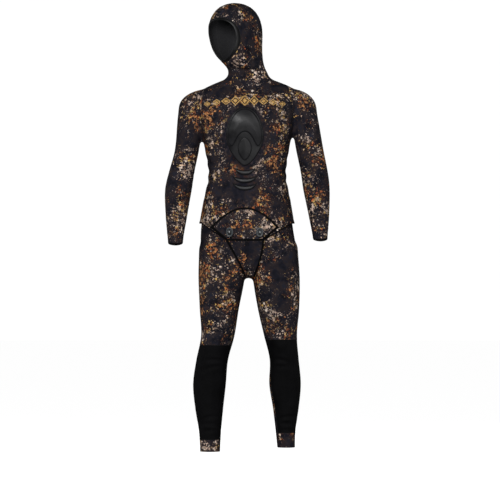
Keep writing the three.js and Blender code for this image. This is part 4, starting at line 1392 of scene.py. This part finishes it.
@dataclass
class Beavertail:
    """The strap that comes up between the legs, with its lens-shaped head."""

    shop: Workshop
    form: Cloth  # the jacket's, from which it is cut
    under: Cloth  # the trousers', which it lies over
    clips: Sequence["TwistClip"]
    hinge: float = -352.0
    climbed: float = -262.0  # where it has climbed over the jacket's edge
    low: float = -386.0  # the front part's lower end
    top: float = -132.0
    corner_x: float = 124.0
    corner_z: float = -204.0
    strap_top: float = 70.0
    strap_low: float = 32.0
    lift: float = 6.2  # its outer face above the jacket's
    gap: float = 1.6  # between its lining and the thighs
    swell: float = 16.0  # how far round a place the strap comes forward with it
    still: float = 0.026  # below the hinge, in metres
    moving: float = 0.024  # above the hinge, in metres

    def outline(self) -> Outline:
        """The strap and its head, seen from the front."""
        waist, crown = HEM_CENTRE + 2, 0.48 * self.corner_x
        low = [(CROTCH_X + self.strap_low, self.hinge)]
        strap = bezier(low[0], (self.strap_top - 10, -300), (MIDLINE + self.strap_top, waist))
        head = [(MIDLINE + self.corner_x, self.corner_z)]
        arch = bezier(head[0], (MIDLINE + crown, self.top), (MIDLINE, self.top))
        right = low + strap + head + arch
        left_low = (CROTCH_X - self.strap_low, self.hinge)
        left_corner = (MIDLINE - self.corner_x, self.corner_z)
        left = bezier((MIDLINE, self.top), (MIDLINE - crown, self.top), left_corner)
        left += [(MIDLINE - self.strap_top, waist)]
        left += bezier(left[-1], (20 - self.strap_top, -300), left_low)
        foot = [(CROTCH_X - 15, -400), (CROTCH_X + 15, -400)]
        return Outline(foot + right + left)

    def build(self) -> None:
        """Cuts the front and the back from the form, lays the front over the jacket, and sews both."""
        flap = self.form.copy()
        shape = self.outline()
        edge = lambda p: np.where(p[:, 1] < -15, shape.distance(p[:, 0], p[:, 2]), 30.0)
        low = self.low
        flap.cut(edge)
        flap.cut(lambda p: p[:, 2] - low)
        flap = flap.part(lambda p: (edge(p) < 0) & (p[:, 2] > low) & (p[:, 1] < 0))
        for clip in self.clips:
            flap.cut(clip.beside)
        flap = flap.part(lambda p: np.all([clip.beside(p) > 0 for clip in self.clips], axis=0))
        flap.shift(lambda p: self.lift * smooth_step(p[:, 2], self.hinge, self.climbed))
        self.lay_over(flap)
        # cut lines at the black border and at the painted shadow line across the strap, so that they end
        # crisply
        for inset in (6, 8):
            flap.cut(lambda p, i=inset: shape.distance(p[:, 0], p[:, 2]) + i)
        for height in (-5, -3.5, 3.5, 5):
            flap.cut(lambda p, h=height: p[:, 2] - HEM_CENTRE - h)
        pattern = Pattern((0.25, 0.27), ("beavertail_front",), share=self.black_edge_and_step_shade)
        panel = self.shop.sew("beavertail_front", flap, pattern)
        panel.parent = None
        del panel["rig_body"]
        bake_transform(panel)
        back = self.form.copy()
        half = lambda p: np.interp(p[:, 2], [-400, -372, -345, -320, HEM_CENTRE], [32, 32, 38, 46, 70])
        side = lambda p: np.abs(p[:, 0] - CROTCH_X * smooth_step(-p[:, 2], 251, 372)) - half(p)
        back.cut(side)
        back.cut(lambda p: p[:, 2] - HEM_CENTRE)
        back.cut(lambda p: np.where(p[:, 1] < -15, p[:, 2] - low, 40.0))
        behind = lambda p: (p[:, 1] > 0) | (p[:, 2] < low)
        strip = back.part(lambda p: (side(p) < 0) & (p[:, 2] < HEM_CENTRE) & behind(p))
        self.shop.sew("beavertail_back", strip, Pattern((0.15, 0.26), ("beavertail_back",)))

    def lay_over(self, flap: Cloth) -> None:
        """Brings the strap forward wherever the thighs would come through it, in one smooth swell."""
        tree = BVHTree.FromBMesh(self.under.bm)
        ahead, steepest = -400, 0.45
        push = []
        for vertex in flap.bm.verts:
            x, y, z = vertex.co
            hit, normal, _, _ = tree.ray_cast(Vector((x, ahead, z)), Vector((0, 1, 0)))
            clear = (WALL + self.gap) / max(steepest, -normal.y) if hit else 0
            push.append(max(0.0, y - (hit.y - clear)) if hit else 0.0)
        place, want = places(flap.bm), np.array(push)
        for vertex, here in zip(flap.bm.verts, place):
            away = np.linalg.norm(place - here, axis=1) / self.swell
            near = away < 1
            vertex.co.y -= float((want[near] * (1 - smooth_step(away[near], 0.3, 1))).max())
        flap.bm.normal_update()

    def black_edge_and_step_shade(self, place: np.ndarray) -> np.ndarray:
        """How much of the print shows: the border is black, partly the flap's black edge and partly painted
        shade along it; the line across the strap at the jacket's edge is a painted shadow of the step.
        """
        x, _, z = place.T
        # painted shadow: a black line across the strap where it steps over the jacket's edge
        step = np.where(np.abs(x - MIDLINE) < self.strap_top + 4, np.abs(z - HEM_CENTRE), 99)
        # the black border is partly the flap's black edge, partly painted shade
        return smooth_step(-self.outline().distance(x, z), 6, 8) * smooth_step(step, 3.5, 5)


# --- pads, print and clips


def chest_face(x: np.ndarray, z: np.ndarray) -> np.ndarray:
    """The places on the jacket's front that are seen at some x and z, muscles included."""
    trunk = BODY[Part.TRUNK]
    place = np.stack([x, trunk.front_face(x, z), z], 1)
    step = 2.0
    dx = (trunk.front_face(x + step, z) - trunk.front_face(x - step, z)) / (2 * step)
    dz = (trunk.front_face(x, z + step) - trunk.front_face(x, z - step)) / (2 * step)
    normal = np.stack([dx, -np.ones_like(x), dz], 1)
    normal /= np.linalg.norm(normal, axis=1)[:, None]
    rise = sum(shape.rise(place, normal) for shape in [*MUSCLES, *FOLDS])
    return place + normal * rise[:, None]


def chest_normal(x: np.ndarray, z: np.ndarray) -> np.ndarray:
    """The way out of the jacket's front at some x and z."""
    step = 4.0
    across = chest_face(x + step, z) - chest_face(x - step, z)
    up = chest_face(x, z + step) - chest_face(x, z - step)
    normal = np.cross(across, up)
    return normal / np.linalg.norm(normal, axis=1)[:, None]


@dataclass(frozen=True)
class Relief:
    """How a moulded shape stands off the jacket: foot, thickness, the radius of its edge, and its crown."""

    foot: float
    thickness: float
    edge: float
    crown: float = 0.0
    crown_reach: float = 30.0

    def height(self, inside: np.ndarray) -> np.ndarray:
        """The height above the jacket at some distances inside the edge."""
        t = np.clip(inside / self.edge, 0, 1)
        rounded = np.sqrt(np.clip(1 - (1 - t) ** 2, 0, 1))
        swell = self.crown * (1 - np.exp(-((inside / self.crown_reach) ** 2)))
        return self.foot + self.thickness * rounded + swell


def moulded(name: str, outline: Outline, relief: Relief, step: float, sunk: float = -1.5) -> bpy.types.Object:
    """A closed shape on the jacket's front.

    Args:
        name: the piece's name.
        outline: its outline, seen from the front.
        relief: how it stands off the jacket.
        step: the size of its faces.
        sunk: where its underside lies, from the jacket's face.

    Returns:
        The piece.
    """
    low, high = outline.points.min(0) - step, outline.points.max(0) + step
    size = high - low
    bm = bmesh.new()
    counts = [max(2, int(s / step)) for s in size]
    bmesh.ops.create_grid(bm, x_segments=counts[0], y_segments=counts[1], size=0.5)
    flat = places(bm)
    across, up = flat[:, 0] + 0.5, flat[:, 1] + 0.5
    set_places(bm, np.stack([low[0] + across * size[0], 0 * across, low[1] + up * size[1]], 1))
    sheet = Cloth(bm)
    sheet.cut(lambda p: outline.distance(p[:, 0], p[:, 2]))
    bm = sheet.bm
    middles = np.array([f.calc_center_median()[:] for f in bm.faces])
    outside = outline.distance(middles[:, 0], middles[:, 2]) > 0
    bmesh.ops.delete(bm, geom=[f for f, k in zip(bm.faces, outside) if k], context="FACES")
    for face in bm.faces:
        if face.normal.y > 0:
            face.normal_flip()
    top = list(bm.verts)
    made = bmesh.ops.extrude_face_region(bm, geom=list(bm.faces), use_keep_orig=True)["geom"]
    under = [v for v in made if isinstance(v, bmesh.types.BMVert)]
    for verts, base in ((top, False), (under, True)):
        at = np.array([v.co[:] for v in verts])
        x, z = at[:, 0], at[:, 2]
        rise = np.full(len(at), sunk) if base else relief.height(-outline.distance(x, z))
        for vertex, new in zip(verts, (chest_face(x, z) + chest_normal(x, z) * rise[:, None]).tolist()):
            vertex.co = new
    bmesh.ops.recalc_face_normals(bm, faces=bm.faces)
    return mesh_object(bm, f"{name}_rubber")


@dataclass
class LoadingPad:
    """The moulded pad on the breastbone, and the bending ribs below it."""

    step: float = 1.8  # the size of its faces
    fill: float = 0.9

    def build(self) -> None:
        """Makes the base, the dome plate, the teardrop and the three ribs."""
        rubber = MouldedRubber()
        base = mirrored(238, [(36, 238), (68, 190), (70, 134)], [(72, 88), (26, 24), (0, 20)])
        arch = mirrored(
            230,
            [(34, 230), (62, 184), (64, 136)],
            [(65, 110), (56, 92), (48, 92)],
            [(34, 96), (28, 144), (0, 146)],
        )
        core = mirrored(126, [(10, 126), (26, 106), (26, 86)], [(26, 66), (10, 42), (0, 40)])
        for name, outline, relief in (
            ("chest_pad_base", base, Relief(0.2, 2.4, 5.0)),
            ("chest_pad_arch", arch, Relief(2.6, 3.0, 5.5, 3.2, 26)),
            ("chest_pad_core", core, Relief(2.4, 2.4, 5.0, 1.6, 16)),
        ):
            piece = clad(moulded(name, outline, relief, self.step), rubber, "suit", name)
        for level, low, half in (("upper", -10, 40), ("middle", -39, 48), ("lower", -66, 47)):
            rib = mirrored(
                low + 14,
                [(half * 0.5, low + 14), (half * 0.9, low + 22), (half, low + 26)],
                [(half * 0.8, low + 2), (half * 0.4, low - 4), (0, low - 4)],
            )
            name = f"abdomen_rib_{level}"
            piece = clad(moulded(name, rib, Relief(0.0, 4.6, 9.0), self.step), rubber, "suit", name)


@dataclass
class ChestPrint:
    """A plain band of gold rhombi across the chest."""

    level: float = 257.0
    reach: float = 138.0
    count: int = 9

    def build(self) -> None:
        """Prints the rhombi, each with a smaller one in it."""
        shells = []
        for k in range(self.count):
            t = 2 * k / (self.count - 1) - 1
            x, z = MIDLINE + self.reach * t, self.level + 12 * (1 - t * t) - 8
            tall, wide = 22 - 13 * abs(t), 19 - 4 * abs(t)
            for grow in (1.0, 0.46):
                out, up = wide * grow, tall * grow
                corners = [(x + out, z), (x, z + up), (x - out, z), (x, z - up)]
                inner = [(x + 0.74 * (u - x), z + 0.74 * (v - z)) for u, v in corners]
                bars = zip(corners, corners[1:] + corners[:1], inner[1:] + inner[:1], inner)
                for bar in bars if grow == 1.0 else [corners]:
                    piece = moulded("bar", Outline(list(bar)), Relief(0.35, 0.15, 0.6), 2.5, -0.8)
                    bm = bmesh.new()
                    bm.from_mesh(piece.data)
                    bpy.data.objects.remove(piece)
                    shells.append(bm)
        clad(mesh_object(joined(shells), "chest_band_print", 1.0), GoldPrint(), "suit")


@dataclass
class TwistClip:
    """A twist clip: post, knob and rivet on the jacket, and the eyelet in the beavertail."""

    side: str
    knob_length: float = 19.0
    knob_width: float = 9.0
    knob_height: float = 5.0
    knob_bore: float = 3.25
    slot_clearance: float = 3.2
    eyelet_wall: float = 1.4
    eyelet_rim: float = 3.4
    eyelet_flange: float = 1.6
    face: float = 6.9  # of the beavertail above the jacket
    rings: int = 40  # points round each ring
    place: Matrix = field(init=False)

    def __post_init__(self) -> None:
        """Finds the clip's place, with its axis along the joint's."""
        joint = next(j for j in frame["joints"] if j["name"] == f"{self.side}_knob_twist")
        out = Vector(joint["axis"]).normalized()
        up = (Vector((0, 0, 1)) - out * out.z).normalized()
        turn = Matrix((up.cross(out), up, out)).transposed().to_4x4()
        self.place = Matrix.Translation(Vector(joint["pos_m"]) * METRE) @ turn

    def beside(self, place: np.ndarray) -> np.ndarray:
        """How far some places lie outside the eyelet's tube, which stands in a hole of the beavertail."""
        away = (place - np.array(self.place.translation)) @ np.array(self.place.to_3x3())
        long = np.maximum(np.abs(away[:, 1]) - (self.knob_length - self.knob_width) / 2, 0)
        tube = self.knob_width / 2 + self.slot_clearance + self.eyelet_wall + 0.6
        return np.where(np.abs(away[:, 2]) < 40, np.hypot(away[:, 0], long) - tube, 60.0)

    def turned(
        self, profile: Sequence[tuple[float, float]], length: float = 0.0, closed: bool = False
    ) -> bmesh.types.BMesh:
        """A shape whose rings are circles, or circles drawn out upright.

        Args:
            profile: the radius and the height of each ring, in order.
            length: how far the rings are drawn out.
            closed: whether the last ring meets the first, as in an eyelet.

        Returns:
            The shape, about the clip's axis.
        """
        bm = bmesh.new()
        rings = []
        for radius, height in profile:
            made = bmesh.ops.create_circle(bm, segments=self.rings, radius=radius)["verts"]
            for vertex in made:
                reach = length / 2 if vertex.co.y > 1e-6 else -length / 2 if vertex.co.y < -1e-6 else 0
                vertex.co = (vertex.co.x, vertex.co.y + reach, height)
            rings.append(list({e for v in made for e in v.link_edges}))
        pairs = list(zip(rings, rings[1:])) + ([(rings[-1], rings[0])] if closed else [])
        for one, other in pairs:
            bmesh.ops.bridge_loops(bm, edges=one + other)
        if not closed:
            for ring in (rings[0], rings[-1]):
                bmesh.ops.contextual_create(bm, geom=ring)
        bmesh.ops.recalc_face_normals(bm, faces=bm.faces)
        return bm

    def make(self, kind: str, bm: bmesh.types.BMesh, finish: Finish, body: str) -> bpy.types.Object:
        """Sets a shape in its place and dresses it."""
        bmesh.ops.transform(bm, matrix=self.place, verts=bm.verts)
        name = f"{self.side}_clip_{kind}"
        piece = mesh_object(bm, f"{name}_{'steel' if kind == 'rivet' else 'nylon'}")
        piece.data.set_sharp_from_angle(angle=math.radians(40))
        return clad(piece, finish, body, name)

    def build(self) -> None:
        """Makes the four pieces."""
        foot = self.face + self.eyelet_flange + 0.5
        top = foot + self.knob_height + 0.5
        grey = ClipPlastic()
        post = [(13, -2.6), (13, -0.4), (12.4, 0.1), (3.6, 0.1), (3, 0.7), (3, top), (2.6, top + 0.2)]
        self.make("post", self.turned(post), grey, "suit")
        r, h, hole = self.knob_width / 2, self.knob_height, self.knob_bore
        knob = [(hole, foot), (r - 0.7, foot), (r, foot + 0.7)]
        knob += [(r, foot + h - 1.3), (r - 0.4, foot + h - 0.4), (r - 1.0, foot + h), (hole, foot + h)]
        bm = self.turned(knob, self.knob_length - self.knob_width, True)
        self.make("knob", bm, grey, f"{self.side}_knob")
        rivet = [(4.4, top + 0.3), (4.4, top + 0.8), (3.9, top + 1.35), (2.6, top + 1.8), (1.0, top + 2.0)]
        self.make("rivet", self.turned(rivet), RivetSteel(), "suit")
        inner = r + self.slot_clearance
        wall = inner + self.eyelet_wall
        rim = wall + self.eyelet_rim
        face = self.face
        flange = [(inner, face - 6.3), (wall + 2.2, face - 6.3), (wall + 2.2, face - 5.7), (wall, face - 5.7)]
        outside = [(wall, face), (rim, face), (rim, face + 0.8)]
        outside += [(rim - 0.5, face + 1.4), (rim - 1.4, face + 1.7)]
        inside = [(inner + 1.2, face + 1.7), (inner + 0.3, face + 1.4), (inner, face + 0.8)]
        ring = flange + outside + inside
        self.make("eyelet", self.turned(ring, self.knob_length - self.knob_width, True), grey, "beavertail")


@dataclass
class Stitching:
    """Small slanting stitches over the glued seams."""

    pitch: float = 3.4
    half_length: float = 2.0
    half_width: float = 0.42
    slant: float = 52.0  # degrees from the seam
    shortest: float = 1.6  # of the stretches of seam that take a stitch

    def build(self, seams: Sequence[tuple[Vector, Vector, Vector]]) -> None:
        """Sews a stitch on each stretch of seam.

        Args:
            seams: the middle, the run and the normal of each stretch.
        """
        bm = bmesh.new()
        slant = math.radians(self.slant)
        for middle, run, normal in seams:
            if run.length < self.shortest:
                continue
            along = run.normalized()
            if along.z < 0 or (abs(along.z) < 0.3 and along.x < 0):
                along.negate()
            over = normal.cross(along).normalized()
            line = along * math.cos(slant) + over * math.sin(slant)
            side = normal.cross(line).normalized()
            axes = (side * self.half_width, line * self.half_length, normal * self.half_width)
            spin = Matrix(axes).transposed().to_4x4()
            count = max(1, round(run.length / self.pitch))
            for k in range(count):
                at = middle + along * self.pitch * (k - 0.5 * (count - 1))
                matrix = Matrix.Translation(at + normal * 0.15) @ spin
                bmesh.ops.create_icosphere(bm, subdivisions=1, radius=1.0, matrix=matrix)
        clad(mesh_object(bm, "seam_stitching"), Thread(), "suit")


# --- the studio


@dataclass
class Studio:
    """A plain pale studio: floor, backdrop, soft lights and the camera."""

    floor_level: float = -1.19  # where the wearer's soles stand
    distance: float = 12.85
    lens: float = 250.0
    floor_radius: float = 22.0
    dome_radius: float = 24.0

    def build(self) -> None:
        """Makes the floor, the backdrop, the lights and the camera."""
        self.backdrop()
        self.light("left_side", (-6.0, 0.8, 0.9), 2.6, 60)
        self.light("right_side", (6.0, 0.8, 0.9), 2.6, 60)
        self.light("key", (-1.0, -4.8, 1.3), 1.7, 175)
        self.light("fill", (1.3, -5.0, -0.2), 1.9, 62)
        self.light("back", (0.4, 5.0, 0.9), 2.4, 120)
        self.camera()
        scene = bpy.context.scene
        scene.view_settings.view_transform = "Standard"
        scene.world = scene.world or bpy.data.worlds.new("studio")
        scene.world.use_nodes = True
        background = scene.world.node_tree.nodes["Background"]
        background.inputs["Color"].default_value = (1, 1, 1, 1)
        background.inputs["Strength"].default_value = 0.09

    def plain(self, name: str, glow: float, pale: float) -> bpy.types.Material:
        """A pale paper that gives a little light of its own."""
        n = Nodes(name)
        tooth = n.noise(n.add("TexCoord").outputs["Object"], 3.0, 2.0)
        colour = n.ramp(tooth, ((0.3, (pale * 0.96,) * 3), (0.7, (pale,) * 3)))
        white = (1, 1, 1, 1)
        return n.surface(
            base_color=colour,
            roughness=1.0,
            emission_color=white,
            emission_strength=glow,
            specular_ior_level=0.0,
        )

    def backdrop(self) -> None:
        """A round floor, and a pale dome that only the camera sees."""
        bm = bmesh.new()
        bmesh.ops.create_circle(bm, cap_ends=True, segments=96, radius=self.floor_radius)
        bmesh.ops.translate(bm, verts=bm.verts, vec=(0, 0, self.floor_level))
        floor = mesh_object(bm, "floor", 1.0)
        floor.data.materials.append(self.plain("FloorPaper", 0.97, 0.2))
        floor.visible_diffuse = floor.visible_glossy = False
        bm = bmesh.new()
        bmesh.ops.create_uvsphere(bm, u_segments=48, v_segments=24, radius=self.dome_radius)
        bmesh.ops.reverse_faces(bm, faces=bm.faces)
        dome = mesh_object(bm, "backdrop", 1.0)
        dome.data.materials.append(self.plain("BackdropPaper", 1.0, 0.2))
        dome.visible_diffuse = dome.visible_glossy = dome.visible_shadow = False
        dome.visible_transmission = dome.visible_volume_scatter = False

    def light(self, name: str, at: tuple[float, float, float], size: float, power: float) -> None:
        """Adds a soft lamp that faces the suit's middle."""
        lamp = bpy.data.lights.new(name, "AREA")
        lamp.shape, lamp.size, lamp.energy = "DISK", size, power
        holder = bpy.data.objects.new(name, lamp)
        bpy.context.scene.collection.objects.link(holder)
        holder.location = at
        holder.rotation_euler = (Vector((0, 0, -0.25)) - Vector(at)).to_track_quat("-Z", "Y").to_euler()
        holder.visible_camera = False

    def camera(self) -> None:
        """Adds the camera, level and straight ahead."""
        data = bpy.data.cameras.new("camera")
        data.lens, data.sensor_width = self.lens, 36.0
        holder = bpy.data.objects.new("camera", data)
        bpy.context.scene.collection.objects.link(holder)
        holder.location = (0.011, -self.distance, -0.288)
        holder.rotation_euler = (math.pi / 2, 0, 0)
        bpy.context.scene.camera = holder


def main() -> None:
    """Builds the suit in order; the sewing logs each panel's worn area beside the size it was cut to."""
    logging.basicConfig(level=logging.INFO, format="%(name)s %(message)s")
    Studio().build()
    shop = Workshop()
    trousers = Trousers(shop)
    trousers.build()
    jacket = Jacket(shop)
    jacket.build()
    clips = [TwistClip(side) for side in ("right", "left")]
    Beavertail(shop, jacket.form, trousers.form, clips).build()
    LoadingPad().build()
    ChestPrint().build()
    for clip in clips:
        clip.build()
    Stitching().build(shop.seams)


if __name__ == "__main__":
    main()
